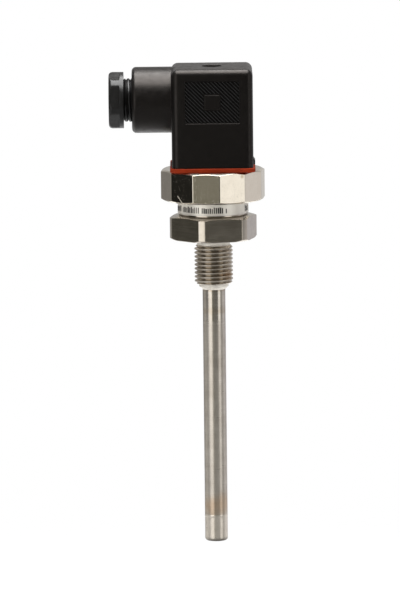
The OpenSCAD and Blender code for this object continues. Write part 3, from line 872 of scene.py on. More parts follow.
@dataclass(frozen=True)
class Prism:
    """A regular prism with rounded edges, and corners turned down to a cylinder."""

    sides: int
    across: float
    turned: float
    turn: float
    edge: float
    blend: float = 0.05

    def corners(self) -> list[float]:
        """Gives the angles of the prism's corners."""
        step = 360 / self.sides
        return [(self.turn + step * (i + 0.5)) % 360 for i in range(self.sides)]

    def radius(self, angle: float) -> float:
        """Gives the distance from the axis to the surface.

        Args:
            angle: the direction, in degrees.

        Returns:
            The radius, in millimetres.
        """
        half = math.pi / self.sides
        from_flat = math.radians((angle - self.turn) % (360 / self.sides))
        from_corner = abs(from_flat - half)
        flat = self.across / 2 / math.cos(half - from_corner)
        centre = (self.across / 2 - self.edge) / math.cos(half)
        if centre * math.sin(from_corner) < self.edge * math.sin(half):
            reach = math.sqrt(self.edge**2 - (centre * math.sin(from_corner)) ** 2)
            flat = centre * math.cos(from_corner) + reach
        share = max(self.blend - abs(flat - self.turned / 2), 0) / self.blend
        return min(flat, self.turned / 2) - share * share * self.blend / 4


@dataclass(frozen=True)
class Thread:
    """A right-hand thread with rounded roots and crests and a cone at each end."""

    major: float
    minor: float
    pitch: float
    low: float
    high: float
    crest: float
    cone: float
    land: float

    # Share of a flank, from root to crest, and share of the thread's depth there
    FLANK: ClassVar[Outline] = [
        (0.0, 0.0), (0.12, 0.04), (0.32, 0.27), (0.52, 0.52), (0.74, 0.79), (0.9, 0.95)
    ]

    def form(self) -> Outline:
        """Works out the thread's form over one pitch.

        Returns:
            The share of the pitch, from a root, and the share of the thread's depth there.
        """
        width = 0.5 - self.land
        rise = [(share * width, depth) for share, depth in self.FLANK] + [(width, 1.0)]
        return rise + [(1 - share, depth) for share, depth in reversed(rise)]

    def radius(self, angle: float, height: float) -> float:
        """Gives the thread's radius at an angle and a height.

        Args:
            angle: the direction, in degrees.
            height: the height, in millimetres.

        Returns:
            The radius, in millimetres.
        """
        share = ((height - self.crest) / self.pitch - angle / 360 + 0.5) % 1.0
        form = self.form()
        for (near, low), (far, high) in zip(form, form[1:]):
            if share <= far:
                depth = low + (high - low) * (share - near) / (far - near)
                break
        radius = (self.minor + (self.major - self.minor) * depth) / 2
        inward = min(height - self.low, self.high - height)
        return min(radius, self.major / 2 - self.cone + inward)

    def points(self, angle: float) -> Outline:
        """Gives the thread's outline up one side, always with as many points.

        Args:
            angle: the direction, in degrees.

        Returns:
            The points from low to high, as (radius, height).
        """
        first = math.floor((self.low - self.crest) / self.pitch) - 2
        last = math.ceil((self.high - self.crest) / self.pitch) + 1
        found: Outline = []
        for turn in range(first, last + 1):
            for share, _ in self.form()[:-1]:
                height = self.crest + self.pitch * (turn + angle / 360 + share - 0.5)
                height = min(max(height, self.low), self.high)
                found.append((self.radius(angle, height), height))
        return found


# ---- the probe's process end ----


@dataclass
class SensorStem:
    """The ground tube with its turned end plug, and what is inside them."""

    radius: float = 4.0
    joint: float = -98.4
    bead_half: float = 0.45
    bead_proud: float = 0.035
    bead_root: float = 0.2
    bead_root_half: float = 0.27
    bead_steps: int = 8
    ripples: int = 48
    ripple: float = 0.25
    angle_step: float = 1.5

    DRESS: ClassVar[dict[str, Finish]] = {
        "stem_tube": STEM_STEEL,
        "end_plug": PLUG_STEEL,
        "sensing_element": CERAMIC,
        "insulator": CERAMIC,
        "lead_wire_1": SLEEVE,
        "lead_wire_2": SLEEVE,
        "lead_wire_3": SLEEVE,
        "earth_lead": SLEEVE,
        "potting": RESIN,
    }

    def bead(self, angle: float) -> Outline:
        """Gives the closed outline of the laser-weld bead where the plug meets the tube.

        Args:
            angle: the direction, in degrees.

        Returns:
            The outline, as (radius, height).
        """
        ripple = self.ripple * math.sin(math.radians(angle * self.ripples))
        proud = self.bead_proud * (1 + ripple)
        arc = []
        for step in range(self.bead_steps + 1):
            t = step / self.bead_steps * 2 - 1
            arc.append((self.radius + proud * (1 - t * t), self.joint + t * self.bead_half))
        root, half = self.radius - self.bead_root, self.bead_root_half
        return arc + [(root, self.joint + half), (root, self.joint - half)]

    def build(self) -> list[Piece]:
        """Builds and dresses the stem.

        Returns:
            Its pieces.
        """
        mesh = turn_shell("plug_weld", self.bead, spread_angles(self.angle_step))
        bead = new_piece("plug_weld", mesh, PLUG_STEEL)
        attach(bead, "probe")
        return [bead, *dress_nodes(self.DRESS)]


@dataclass
class ProcessFitting:
    """The turned fitting: weld collar, thread, hexagon, marking band and union thread."""

    socket_r: float = 3.8
    bore_r: float = 3.0
    chamber_r: float = 10.23
    mouth: float = 1.4
    weld_r: float = 4.05
    weld_end: float = -17.9
    weld_top: float = -16.9
    ripple: float = 0.03
    ripples: int = 36
    collar_r: float = 5.15
    collar_top: float = -15.9
    undercut_r: float = 5.75
    undercut: float = -2.3
    hex_h: float = 8.8
    hex_low_r: float = 14.46
    hex_top_r: float = 11.77
    low_slope: float = 30.0
    top_slope: float = 15.0
    burr: float = 0.12
    groove_r: float = 11.815
    groove_lip: float = 0.05
    band_z: float = 9.2
    band_r: float = 12.415
    band_top: float = 15.4
    union_r: float = 12.965
    union_z: float = 16.35
    union_bevel: float = 0.9
    top: float = 21.25
    floor: float = 7.8
    stem_top: float = 3.1
    worn: float = 0.07
    angle_step: float = 1.5
    hexagon: Prism = Prism(6, 28.0, 31.0, 45.0, 0.3)
    thread: Thread = Thread(13.4, 11.4, 1.411, -15.9, -2.3, -8.55, 0.7, land=0.13)

    # The weld's toe: distance past the tube, height over the weld's end, share of the ripple
    TOE: ClassVar[tuple] = ((-0.03, 0.0, 0), (0.16, 0.12, 1), (0.42, 0.45, 1), (0.78, 0.8, 0))
    # For a corner above the thread, the length cut from each side of it
    ROUNDED: ClassVar[dict[int, float]] = {
        0: 0.25, 1: 0.35, 2: 0.12, 3: 0.14, 4: 0.14, 5: 0.16, 8: 0.14, 9: 0.14
    }
    # Distances from a hexagon's corner, in degrees, where its flats meet the turned edge
    NEAR: ClassVar[tuple] = (0.0, 4.2, 4.5, 4.8, 5.2)

    def outline(self, angle: float) -> Outline:
        """Gives the fitting's closed outline at an angle.

        Args:
            angle: the direction, in degrees.

        Returns:
            The outline, as (radius, height).
        """
        side = self.hexagon.radius(angle)
        low = max((side - self.hex_low_r) * math.tan(math.radians(self.low_slope)), self.burr)
        high = self.hex_h - (side - self.hex_top_r) * math.tan(math.radians(self.top_slope))
        ripple = self.ripple * math.sin(math.radians(angle * self.ripples))
        below = [(self.socket_r, self.weld_end)]
        for out, up, share in self.TOE:
            below.append((self.weld_r + out + share * ripple, self.weld_end + up))
        below += [(self.collar_r, self.weld_top), (self.collar_r, self.collar_top)]
        above = [
            (self.undercut_r, self.undercut),
            (self.undercut_r, 0.0),
            (min(self.hex_low_r, side - self.burr), 0.0),
            (side, low),
            (side, high),
            (self.groove_r + self.groove_lip, self.hex_h),
            (self.groove_r, self.hex_h),
            (self.groove_r, self.band_z),
            (self.band_r, self.band_z),
            (self.band_r, self.band_top),
            (self.groove_r, self.band_top),
            (self.groove_r, self.union_z),
            (self.union_r - self.union_bevel, self.union_z),
            (self.union_r, self.union_z + self.union_bevel),
            (self.union_r, self.top - self.union_bevel),
            (self.union_r - self.union_bevel, self.top),
            (self.chamber_r + self.mouth, self.top),
            (self.chamber_r, self.top - self.mouth),
            (self.chamber_r, self.floor),
            (self.bore_r, self.floor),
            (self.bore_r, self.stem_top),
            (self.socket_r, self.stem_top),
        ]
        return below + self.thread.points(angle) + soften(above, self.ROUNDED)

    def build(self) -> list[Piece]:
        """Builds and dresses the fitting.

        Returns:
            Its piece.
        """
        angles = spread_angles(self.angle_step, self.hexagon.corners(), self.NEAR)
        mesh = turn_shell("fitting_body", self.outline, angles)
        finishes = (FITTING_STEEL, BAND_STEEL, PICKLED_STEEL, CREST_STEEL)
        piece = new_piece("fitting_body", mesh, *finishes)
        for face in mesh.polygons:
            height = face.center.z / MM
            if self.band_z < height < self.band_top:
                finish = BAND_STEEL
            elif height < self.collar_top or self.undercut < height < 0:
                finish = PICKLED_STEEL
            elif height < 0 and face.center.xy.length / MM > self.thread.major / 2 - self.worn:
                finish = CREST_STEEL
            else:
                finish = FITTING_STEEL
            face.material_index = finishes.index(finish)
        weigh_normals(piece)
        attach(piece, "probe")
        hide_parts("process_fitting")
        return [piece]


@dataclass
class UnionNut:
    """The twelve-sided union nut with a lip over the pin carrier."""

    low: float = 13.8
    top: float = 24.7
    lip_z: float = 23.1
    lip_r: float = 11.315
    bore_r: float = 13.015
    skirt_r: float = 13.415
    union_z: float = 16.35
    bevel: float = 0.7
    slope: float = 30.0
    angle_step: float = 3.0
    prism: Prism = Prism(12, 35.43, 36.9, 22.3, 0.5)

    # For a corner, the length cut from each side of it
    ROUNDED: ClassVar[dict[int, float]] = {
        0: 0.25, 1: 0.12, 2: 0.14, 3: 0.14, 4: 0.12, 5: 0.25, 6: 0.15
    }
    # Distances from a prism's corner, in degrees, that its rounding needs
    NEAR: ClassVar[tuple] = (0.0, 0.25, 0.5, 0.75)

    def outline(self, angle: float) -> Outline:
        """Gives the nut's closed outline at an angle.

        Args:
            angle: the direction, in degrees.

        Returns:
            The outline, as (radius, height).
        """
        side = self.prism.radius(angle)
        run = math.tan(math.radians(self.slope))
        corner = self.prism.across / 2 / math.cos(math.pi / self.prism.sides)
        face_r = corner - self.bevel / run
        drop = (side - face_r) * run
        corners = [
            (self.skirt_r, self.low),
            (face_r, self.low),
            (side, self.low + drop),
            (side, self.top - drop),
            (face_r, self.top),
            (self.lip_r, self.top),
            (self.lip_r, self.lip_z),
            (self.bore_r, self.lip_z),
            (self.bore_r, self.union_z),
            (self.skirt_r, self.union_z),
        ]
        return soften(corners, self.ROUNDED)

    def build(self) -> list[Piece]:
        """Builds and dresses the nut.

        Returns:
            Its piece.
        """
        angles = spread_angles(self.angle_step, self.prism.corners(), self.NEAR)
        mesh = turn_shell("union_nut_body", self.outline, angles)
        piece = new_piece("union_nut_body", mesh, NICKEL)
        weigh_normals(piece)
        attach(piece, "probe")
        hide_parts("union_nut")
        return [piece]


@dataclass
class BandMarking:
    """Dark marks round the band, as plain bars in place of print."""

    radius: float = 12.415
    foot: float = 10.15
    first: float = -84.0
    step: float = 3.3
    count: int = 49
    group: float = 12.0
    group_start: float = 4.0
    blank: float = 1.5
    gap_from: float = 24.0
    gap_to: float = 63.0
    width: float = 0.4
    height: float = 2.2
    thickness: float = 0.06
    seed: int = 4

    # The least and the most that a bar is stretched in width, depth and height
    LEAST: ClassVar[tuple[float, float, float]] = (0.65, 1.0, 0.7)
    MOST: ClassVar[tuple[float, float, float]] = (1.55, 1.0, 1.0)
    # Angle and place of each bar, as a result's name, an operation and its terms
    SUMS: ClassVar[tuple] = (
        ("angle", "MULTIPLY_ADD", "number", "Step", "First"),
        ("past", "GREATER_THAN", "angle", "Gap From"),
        ("short", "LESS_THAN", "angle", "Gap To"),
        ("bare", "MULTIPLY", "past", "short"),
        ("shifted", "ADD", "number", "Group Start"),
        ("in group", "MODULO", "shifted", "Group"),
        ("last", "SUBTRACT", "Group", "Blank"),
        ("skipped", "GREATER_THAN", "in group", "last"),
        ("gone", "MAXIMUM", "bare", "skipped"),
        ("turn", "RADIANS", "angle"),
        ("sine", "SINE", "turn"),
        ("east", "MULTIPLY", "sine", "Radius"),
        ("cosine", "COSINE", "turn"),
        ("back", "MULTIPLY", "cosine", "Radius"),
        ("front", "MULTIPLY", "back", -1.0),
        ("tall", "MULTIPLY", "stretch", "Height"),
        ("half", "MULTIPLY", "tall", 0.5),
        ("middle", "ADD", "Foot", "half"),
    )

    def marks(self) -> Piece:
        """Makes the tree that sets bars of many heights along an arc, and runs it.

        Returns:
            The marks' object.
        """
        values = {
            "Radius": self.radius * MM,
            "Foot": self.foot * MM,
            "First": self.first,
            "Step": self.step,
            "Count": self.count,
            "Group": self.group,
            "Group Start": self.group_start,
            "Blank": self.blank,
            "Gap From": self.gap_from,
            "Gap To": self.gap_to,
            "Width": self.width * MM,
            "Height": self.height * MM,
            "Thickness": self.thickness * MM,
            "Seed": self.seed,
        }
        tree, given = open_tree("band_marks", values)
        row = add_node(tree, "GeometryNodeMeshLine", {"Count": given["Count"]})
        spread = {0: self.LEAST, 1: self.MOST, "Seed": given["Seed"]}
        size = add_node(tree, "FunctionNodeRandomValue", spread, data_type="FLOAT_VECTOR")
        found = {label: given[label] for label in values}
        found["number"] = add_node(tree, "GeometryNodeInputIndex")
        found["stretch"] = add_node(tree, "ShaderNodeSeparateXYZ", {0: size}).outputs[2]
        for result, operation, *terms in self.SUMS:
            links = {i: found.get(term, term) for i, term in enumerate(terms)}
            found[result] = add_node(tree, "ShaderNodeMath", links, operation=operation)
        axes = {"X": found["east"], "Y": found["front"], "Z": found["middle"]}
        spot = add_node(tree, "ShaderNodeCombineXYZ", axes)
        shape = add_node(tree, "GeometryNodeSetPosition", {"Geometry": row, "Position": spot})
        # Stored values outlive the deletion, which numbers the points anew.
        turned = add_node(tree, "ShaderNodeCombineXYZ", {"Z": found["turn"]})
        vectors = {"data_type": "FLOAT_VECTOR"}
        for label, value in (("turn", turned), ("size", size)):
            stored = {"Geometry": shape, "Name": label, "Value": value}
            shape = add_node(
                tree, "GeometryNodeStoreNamedAttribute", stored, domain="POINT", **vectors
            )
        unwanted = {"Geometry": shape, "Selection": found["gone"]}
        kept = add_node(tree, "GeometryNodeDeleteGeometry", unwanted, domain="POINT")
        facing, scale = (
            add_node(tree, "GeometryNodeInputNamedAttribute", {"Name": label}, **vectors)
            for label in ("turn", "size")
        )
        axes = {"X": given["Width"], "Y": given["Thickness"], "Z": given["Height"]}
        block = add_node(tree, "ShaderNodeCombineXYZ", axes)
        bar = add_node(tree, "GeometryNodeMeshCube", {"Size": block})
        spots = {"Points": kept, "Instance": bar, "Rotation": facing, "Scale": scale}
        bars = add_node(tree, "GeometryNodeInstanceOnPoints", spots)
        return run_tree(tree, bars, values, LASER_MARK)

    def build(self) -> list[Piece]:
        """Builds and dresses the marks.

        Returns:
            Their piece.
        """
        marks = self.marks()
        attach(marks, "probe")
        return [marks]


# ---- the connector ----


@dataclass
class PinCarrier:
    """The carrier with its seal, threaded insert and blades, and the flat gasket on it."""

    gasket_edge: float = 0.3

    DRESS: ClassVar[dict[str, Finish]] = {
        "carrier_seal": BLACK_RUBBER,
        "pin_carrier": CARRIER_PLASTIC,
        "screw_insert": BRASS,
        "blade_1": TINNED_BRASS,
        "blade_2": TINNED_BRASS,
        "blade_3": TINNED_BRASS,
        "earth_blade": TINNED_BRASS,
    }

    def build(self) -> list[Piece]:
        """Builds and dresses the carrier and the gasket.

        Returns:
            Their pieces.
        """
        gasket = rounded_copy("gasket", "profile_gasket", ORANGE_RUBBER, self.gasket_edge)
        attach(gasket, "probe")
        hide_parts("gasket")
        return [gasket, *dress_nodes(self.DRESS)]


@dataclass
class ConnectorSocket:
    """The moulded socket: housing with its gland boss, ribbed panels and contacts."""

    edge: float = 0.18
    panel_w: float = 19.0
    panel_h: float = 14.2
    panel_z: float = 49.3
    panel_floor: float = 13.8
    window: float = 5.9
    rib_step: float = 1.34
    rib_count: int = 26
    rib_lean: float = 45.0
    rib_foot: float = 0.94
    rib_crest: float = 0.24
    rib_height: float = 0.3
    rib_proud: float = 0.24
    # Depth of the blocks that cut the ribs, which only has to be more than the ribs'
    cut_depth: float = 10.0

    DRESS: ClassVar[dict[str, Finish]] = {
        "terminal_insert": INSERT_PLASTIC,
        "contact_1": TINNED_BRASS,
        "contact_2": TINNED_BRASS,
        "contact_3": TINNED_BRASS,
        "earth_contact": TINNED_BRASS,
        "terminal_screws": ZINC_STEEL,
        "cable_seal": BLACK_RUBBER,
        "screw_seal": BLACK_RUBBER,
        "fixing_screw": ZINC_STEEL,
        "gland_washer": WASHER_PLASTIC,
    }

    def ribs(self) -> Piece:
        """Makes the slanting ribs of the two sunk panels, cut to the panels' outline.

        Returns:
            The ribs' object.
        """
        values = {
            "Width": self.panel_w * MM,
            "Height": self.panel_h * MM,
            "Spacing": self.rib_step * MM,
            "Count": self.rib_count,
            "Rib Foot": self.rib_foot * MM,
            "Rib Crest": self.rib_crest * MM,
            "Rib Height": self.rib_height * MM,
            "Window": self.window * MM,
            "Depth": self.cut_depth * MM,
            "Floor": (self.panel_floor + self.rib_proud - self.rib_height / 2) * MM,
            "Middle": self.panel_z * MM,
        }
        tree, given = open_tree("panel_ribs", values)
        terms = {0: given["Spacing"], 1: given["Count"]}
        span = add_node(tree, "ShaderNodeMath", terms, operation="MULTIPLY")
        half = add_node(tree, "ShaderNodeMath", {0: span, 1: -0.5}, operation="MULTIPLY")
        start = add_node(tree, "ShaderNodeCombineXYZ", {"X": half})
        step = add_node(tree, "ShaderNodeCombineXYZ", {"X": given["Spacing"]})
        row = {"Count": given["Count"], "Start Location": start, "Offset": step}
        low = add_node(tree, "ShaderNodeCombineXYZ", {"Y": half})
        high = add_node(tree, "ShaderNodeVectorMath", {0: low, "Scale": -1.0}, operation="SCALE")
        sides = {
            "Bottom Width": given["Rib Crest"],
            "Top Width": given["Rib Foot"],
            "Offset": 0.0,
            "Height": given["Rib Height"],
        }
        sweep = {
            "Curve": add_node(
                tree, "GeometryNodeCurvePrimitiveLine", {"Start": low, "End": high}
            ),
            "Profile Curve": add_node(
                tree, "GeometryNodeCurvePrimitiveQuadrilateral", sides, mode="TRAPEZOID"
            ),
            "Fill Caps": True,
        }
        spots = {
            "Points": add_node(tree, "GeometryNodeMeshLine", row),
            "Instance": add_node(tree, "GeometryNodeCurveToMesh", sweep),
            "Rotation": (0.0, 0.0, math.radians(self.rib_lean)),
        }
        ribs = add_node(tree, "GeometryNodeInstanceOnPoints", spots)
        ribs = add_node(tree, "GeometryNodeRealizeInstances", {0: ribs})
        blocks = []
        for wide, tall in (("Width", "Height"), ("Window", "Window")):
            axes = {"X": given[wide], "Y": given[tall], "Z": given["Depth"]}
            size = add_node(tree, "ShaderNodeCombineXYZ", axes)
            blocks.append(add_node(tree, "GeometryNodeMeshCube", {"Size": size}))
        exact = {"solver": "EXACT"}
        meshes = {1: [ribs, blocks[0]]}
        cut = add_node(tree, "GeometryNodeMeshBoolean", meshes, operation="INTERSECT", **exact)
        meshes = {0: cut, 1: blocks[1]}
        cut = add_node(tree, "GeometryNodeMeshBoolean", meshes, operation="DIFFERENCE", **exact)
        forward = add_node(
            tree, "ShaderNodeMath", {0: given["Floor"], 1: -1.0}, operation="MULTIPLY"
        )
        stand = {
            "Geometry": cut,
            "Translation": add_node(
                tree, "ShaderNodeCombineXYZ", {"Y": forward, "Z": given["Middle"]}
            ),
            "Rotation": (math.radians(90), 0.0, 0.0),
        }
        front = add_node(tree, "GeometryNodeTransform", stand)
        behind = {"Geometry": front, "Rotation": (0.0, 0.0, math.pi)}
        back = add_node(tree, "GeometryNodeTransform", behind)
        both = add_node(tree, "GeometryNodeJoinGeometry", {0: [front, back]})
        return run_tree(tree, both, values, RIB_BLACK)

    def build(self) -> list[Piece]:
        """Builds and dresses the socket.

        Returns:
            Its pieces.
        """
        shell = rounded_copy("socket_housing", "socket_shell", HOUSING_BLACK, self.edge)
        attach(shell, "socket")
        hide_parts("socket_housing")
        ribs = self.ribs()
        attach(ribs, "socket")
        return [shell, ribs, *dress_nodes(self.DRESS)]


@dataclass
class GlandNut:
    """The gland nut: a short thread, a round collar and a hexagon with a domed end."""

    axis_z: float = 49.0
    bore_r: float = 4.25
    inner_x: float = 22.9
    head_x: float = 30.9
    collar_x: float = 32.3
    collar_r: float = 9.85
    outer_x: float = 36.1
    dome: float = 1.3
    dome_steps: int = 7
    collar_edge: float = 0.3
    bore_edge: float = 0.5
    angle_step: float = 2.5
    hexagon: Prism = Prism(6, 18.1, 19.7, 43.2, 0.4)
    thread: Thread = Thread(15.2, 14.2, 1.411, 22.9, 30.9, 29.22, 0.5, land=0.16)

    # Distances from a hexagon's corner, in degrees, where its flats meet the turned edge
    NEAR: ClassVar[tuple] = (0.0, 0.8, 1.6)

    def outline(self, angle: float) -> Outline:
        """Gives the nut's closed outline at an angle.

        Args:
            angle: the direction, in degrees.

        Returns:
            The outline, as (radius, distance along the nut's axis).
        """
        side = self.hexagon.radius(angle)
        centre = self.collar_r - self.dome
        arc = []
        for step in range(self.dome_steps + 1):
            lean = math.radians(90 * step / self.dome_steps)
            rim = centre + self.dome * math.cos(lean)
            arc.append((min(side, rim), self.outer_x - self.dome + self.dome * math.sin(lean)))
        collar = [
            (self.collar_r, self.head_x), (self.collar_r, self.collar_x), (side, self.collar_x)
        ]
        mouth = [arc[-1], (self.bore_r, self.outer_x), (self.bore_r, self.inner_x)]
        ends = soften(collar, {1: self.collar_edge}) + arc[:-1] + soften(mouth, {1: self.bore_edge})
        return self.thread.points(angle) + ends

    def build(self) -> list[Piece]:
        """Builds and dresses the nut.

        Returns:
            Its piece.
        """
        lean = Matrix.Rotation(math.radians(-90), 4, "Y")
        place = Matrix.Translation((0, 0, self.axis_z)) @ lean
        angles = spread_angles(self.angle_step, self.hexagon.corners(), self.NEAR)
        mesh = turn_shell("gland_nut_body", self.outline, angles, place)
        piece = new_piece("gland_nut_body", mesh, GLAND_BLACK)
        weigh_normals(piece)
        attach(piece, "gland_nut")
        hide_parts("gland_nut")
        return [piece]


# ---- floor, lights and camera ----


@dataclass
class Stage:
    """The pale floor, the soft lights and the camera."""

    floor_z: float = -250.0
    floor_r: float = 900.0
    floor_steps: int = 96
    # The camera's angle over the horizon, its roll and distance, the scale of the render,
    # the point in the render's middle, and the film's height
    elevation: float = 8.0
    roll: float = -0.62
    distance: float = 2200.0
    scale: float = 2.846
    target: tuple[float, float, float] = (-4.97, 0.0, -24.37)
    film: float = 24.0

    # Upright lamps, in metres: name, azimuth from the camera's side, distance from the
    # axis, width, lower and upper edge, and brightness, where 1 is a white surface. The
    # two low ones stand so near that only the stem and the thread mirror them.
    LAMPS: ClassVar[tuple] = (
        ("left_lamp", -41.0, 1.2, 0.82, -0.8, 0.7, 1.45),
        ("right_lamp", 53.0, 1.2, 0.54, -0.8, 0.7, 1.1),
        ("low_left_fill", -80.0, 0.2, 0.15, -0.26, -0.042, 0.36),
        ("low_front_fill", 15.0, 0.5, 0.36, -0.5, -0.1, 0.26),
    )
    # The lamp overhead: height, width and depth in metres, and brightness
    TOP_LAMP: ClassVar[tuple] = (1.0, 1.0, 1.1, 10.2)
    # What metal mirrors at each azimuth from the camera's side: brightness, and how blue
    ROOM: ClassVar[tuple] = (
        (-180, 0.5, 1.0), (-155, 0.46, 1.0), (-135, 0.22, 1.02), (-120, 0.5, 1.0),
        (-104, 0.5, 0.95), (-94, 0.08, 0.85), (-75, 0.012, 0.95), (-60, 0.012, 0.9),
        (-25, 0.32, 0.86), (0, 0.1, 0.88), (28, 0.08, 0.88), (66, 0.3, 0.96),
        (86, 0.4, 1.02), (105, 0.84, 1.05), (122, 0.52, 1.05), (148, 0.6, 1.08),
        (165, 0.66, 1.0), (180, 0.5, 1.0),
    )
    # Green and blue of that light, as shares of red
    WARMTH: ClassVar[tuple] = (0.985, 0.965)
    # The room's ceiling and ground: a colour, and the heights of a direction where it
    # starts and is whole
    ENDS: ClassVar[tuple] = (
        ((0.15, 0.15, 0.145, 1), 0.35, 0.8),
        ((0.25, 0.24, 0.23, 1), -0.25, -0.6),
    )
    WHITE: ClassVar[tuple] = (1, 1, 1, 1)
    # Light of the room on matt surfaces, and the colour of the floor
    DIM: ClassVar[tuple] = (0.42, 0.42, 0.42, 1)
    PALE: ClassVar[tuple] = (0.88, 0.88, 0.87, 1)
    # Share of white that the camera sees on the floor, the rest of which shows the shadow
    WASH: ClassVar[float] = 0.85
    # Distances from the middle where the floor starts to fade and is gone, in metres
    FADE: ClassVar[tuple] = (0.5, 0.88)
    # Mirror rays see the floor darker in front, as in a room lit from behind and above: the
    # depths where that starts and ends, in metres, and the floor's brightness there
    SHADE: ClassVar[tuple] = (-0.1, 0.35, 0.2, 0.7)

    def camera(self) -> None:
        """Sets the camera at its height, roll and distance."""
        lean, roll = math.radians(self.elevation), math.radians(self.roll)
        ahead = Vector((0, math.cos(lean), -math.sin(lean)))
        right = Vector((1, 0, 0))
        upward = Vector((0, math.sin(lean), math.cos(lean)))
        across = right * math.cos(roll) + upward * math.sin(roll)
        along = upward * math.cos(roll) - right * math.sin(roll)
        data = bpy.data.cameras.new("camera")
        data.sensor_fit = "VERTICAL"
        data.sensor_height = self.film
        data.lens = self.scale * self.distance * self.film / RENDER_HEIGHT
        camera = bpy.data.objects.new("camera", data)
        turn = Matrix((across, along, -ahead)).transposed().to_4x4()
        spot = (Vector(self.target) - ahead * self.distance) * MM
        camera.matrix_world = Matrix.Translation(spot) @ turn
        bpy.context.scene.collection.objects.link(camera)
        bpy.context.scene.camera = camera

    def lamp(
        self, name: str, spot: Vector, out: Vector, size: tuple[float, float], radiance: float
    ) -> None:
        """Adds a soft rectangular lamp that the camera doesn't see.

        Args:
            name: the lamp's name.
            spot: its middle, in metres.
            out: the direction of its back.
            size: its width and height, in metres.
            radiance: its brightness, where 1 is a white surface.
        """
        data = bpy.data.lights.new(name, "AREA")
        data.shape = "RECTANGLE"
        data.size, data.size_y = size
        data.energy = radiance * math.pi * size[0] * size[1]
        lamp = bpy.data.objects.new(name, data)
        turn = out.to_track_quat("Z", "Y").to_matrix().to_4x4()
        lamp.matrix_world = Matrix.Translation(spot) @ turn
        lamp.visible_camera = False
        bpy.context.scene.collection.objects.link(lamp)

    def lamps(self) -> None:
        """Adds two tall side lamps, two low fills for the stem and a broad one overhead."""
        for name, azimuth, away, width, low, high, radiance in self.LAMPS:
            turn = math.radians(azimuth)
            out = Vector((math.sin(turn), -math.cos(turn), 0))
            spot = out * away + Vector((0, 0, (low + high) / 2))
            self.lamp(name, spot, out, (width, high - low), radiance)
        height, width, depth, radiance = self.TOP_LAMP
        self.lamp("top_lamp", Vector((0, 0, height)), Vector((0, 0, 1)), (width, depth), radiance)

    def world(self) -> None:
        """Makes a white backdrop, with a dim room in front for reflections."""
        world = bpy.data.worlds.new("room")
        bpy.context.scene.world = world
        world.use_nodes = True
        tree = world.node_tree
        tree.nodes.clear()
        ray = add_node(tree, "ShaderNodeLightPath").outputs
        way = add_node(tree, "ShaderNodeTexCoord").outputs["Generated"]
        across, along, upward = add_node(tree, "ShaderNodeSeparateXYZ", {0: way}).outputs
        front = add_node(tree, "ShaderNodeMath", {0: along, 1: -1.0}, operation="MULTIPLY")
        around = add_node(tree, "ShaderNodeMath", {0: across, 1: front}, operation="ARCTAN2")
        turn = {"Value": around, "From Min": -math.pi, "From Max": math.pi}
        share = add_node(tree, "ShaderNodeMapRange", turn)
        green, blue = self.WARMTH
        stops = [
            ((azimuth + 180) / 360, (light, light * green, light * blue * tone, 1))
            for azimuth, light, tone in self.ROOM
        ]
        room = add_node(tree, "ShaderNodeValToRGB", {0: share}, stops=stops)
        for colour, start, whole in self.ENDS:
            bounds = {"Value": upward, "From Min": start, "From Max": whole}
            tones = {0: add_node(tree, "ShaderNodeMapRange", bounds), 6: room, 7: colour}
            room = add_node(tree, "ShaderNodeMix", tones, data_type="RGBA")
        rays = {0: ray["Is Glossy Ray"], 1: ray["Is Transmission Ray"]}
        mirror = add_node(tree, "ShaderNodeMath", rays, operation="MAXIMUM")
        tones = {0: mirror, 6: self.DIM, 7: room}
        plain = add_node(tree, "ShaderNodeMix", tones, data_type="RGBA")
        tones = {0: ray["Is Camera Ray"], 6: plain, 7: self.WHITE}
        seen = add_node(tree, "ShaderNodeMix", tones, data_type="RGBA")
        glow = add_node(tree, "ShaderNodeBackground", {"Color": seen})
        add_node(tree, "ShaderNodeOutputWorld", {"Surface": glow})

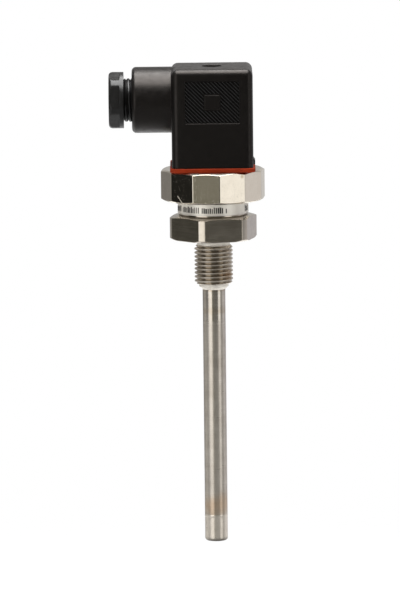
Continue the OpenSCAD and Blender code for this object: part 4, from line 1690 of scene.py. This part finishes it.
    def floor_finish(self) -> bpy.types.Material:
        """Makes the floor's pale paint, which fades to nothing at its rim.

        Returns:
            The material.
        """
        material = bpy.data.materials.new("pale_floor")
        material.use_nodes = True
        tree = material.node_tree
        tree.nodes.clear()
        ray = add_node(tree, "ShaderNodeLightPath").outputs
        place = add_node(tree, "ShaderNodeTexCoord").outputs["Object"]
        flat = {0: place, 1: (1.0, 1.0, 0.0)}
        flat = add_node(tree, "ShaderNodeVectorMath", flat, operation="MULTIPLY")
        away = add_node(tree, "ShaderNodeVectorMath", {0: flat}, operation="LENGTH")
        rim = {"Value": away, "From Min": self.FADE[0], "From Max": self.FADE[1]}
        fade = add_node(tree, "ShaderNodeMapRange", rim, interpolation_type="SMOOTHSTEP")
        depth = add_node(tree, "ShaderNodeSeparateXYZ", {0: place}).outputs[1]
        labels = ("From Min", "From Max", "To Min", "To Max")
        shade = {"Value": depth, **dict(zip(labels, self.SHADE))}
        level = add_node(tree, "ShaderNodeMapRange", shade)
        tones = {0: ray["Is Glossy Ray"], 6: self.PALE, 7: level}
        tone = add_node(tree, "ShaderNodeMix", tones, data_type="RGBA")
        matt = add_node(tree, "ShaderNodeBsdfDiffuse", {"Color": tone})
        white = add_node(tree, "ShaderNodeEmission", {"Color": self.WHITE})
        wash = {0: ray["Is Camera Ray"], 1: self.WASH}
        shown = add_node(tree, "ShaderNodeMath", wash, operation="MULTIPLY")
        lit = add_node(tree, "ShaderNodeMixShader", {0: shown, 1: matt, 2: white})
        clear = add_node(tree, "ShaderNodeBsdfTransparent")
        faded = add_node(tree, "ShaderNodeMixShader", {0: fade, 1: lit, 2: clear})
        add_node(tree, "ShaderNodeOutputMaterial", {"Surface": faded})
        return material

    def floor(self) -> None:
        """Lays a pale round floor that keeps the shadow."""
        radius, height = self.floor_r * MM, self.floor_z * MM
        turns = [2 * math.pi * i / self.floor_steps for i in range(self.floor_steps)]
        rim = [(radius * math.cos(turn), radius * math.sin(turn), height) for turn in turns]
        mesh = bpy.data.meshes.new("floor")
        mesh.from_pydata(rim, [], [tuple(range(self.floor_steps))])
        mesh.materials.append(self.floor_finish())
        floor = bpy.data.objects.new("floor", mesh)
        bpy.context.scene.collection.objects.link(floor)

    def build(self) -> None:
        """Sets the camera, the lights and the floor."""
        bpy.context.scene.view_settings.view_transform = "Standard"
        self.camera()
        self.lamps()
        self.world()
        self.floor()


def main() -> None:
    """Builds the stage and the object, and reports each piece."""
    logging.basicConfig(level=logging.INFO, format="%(name)s: %(message)s")
    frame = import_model()
    CAD.update(frame["nodes"])
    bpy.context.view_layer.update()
    Stage().build()
    LOG.info("stage: camera, %d lamps, backdrop and floor", len(bpy.data.lights))
    assemblies = (
        SensorStem(), ProcessFitting(), BandMarking(), UnionNut(), PinCarrier(),
        ConnectorSocket(), GlandNut(),
    )
    for assembly in assemblies:
        for piece in assembly.build():
            finishes = ", ".join(material.name for material in piece.data.materials)
            LOG.info("%s: %d faces, %s", piece.name, len(piece.data.polygons), finishes)


if __name__ == "__main__":
    main()
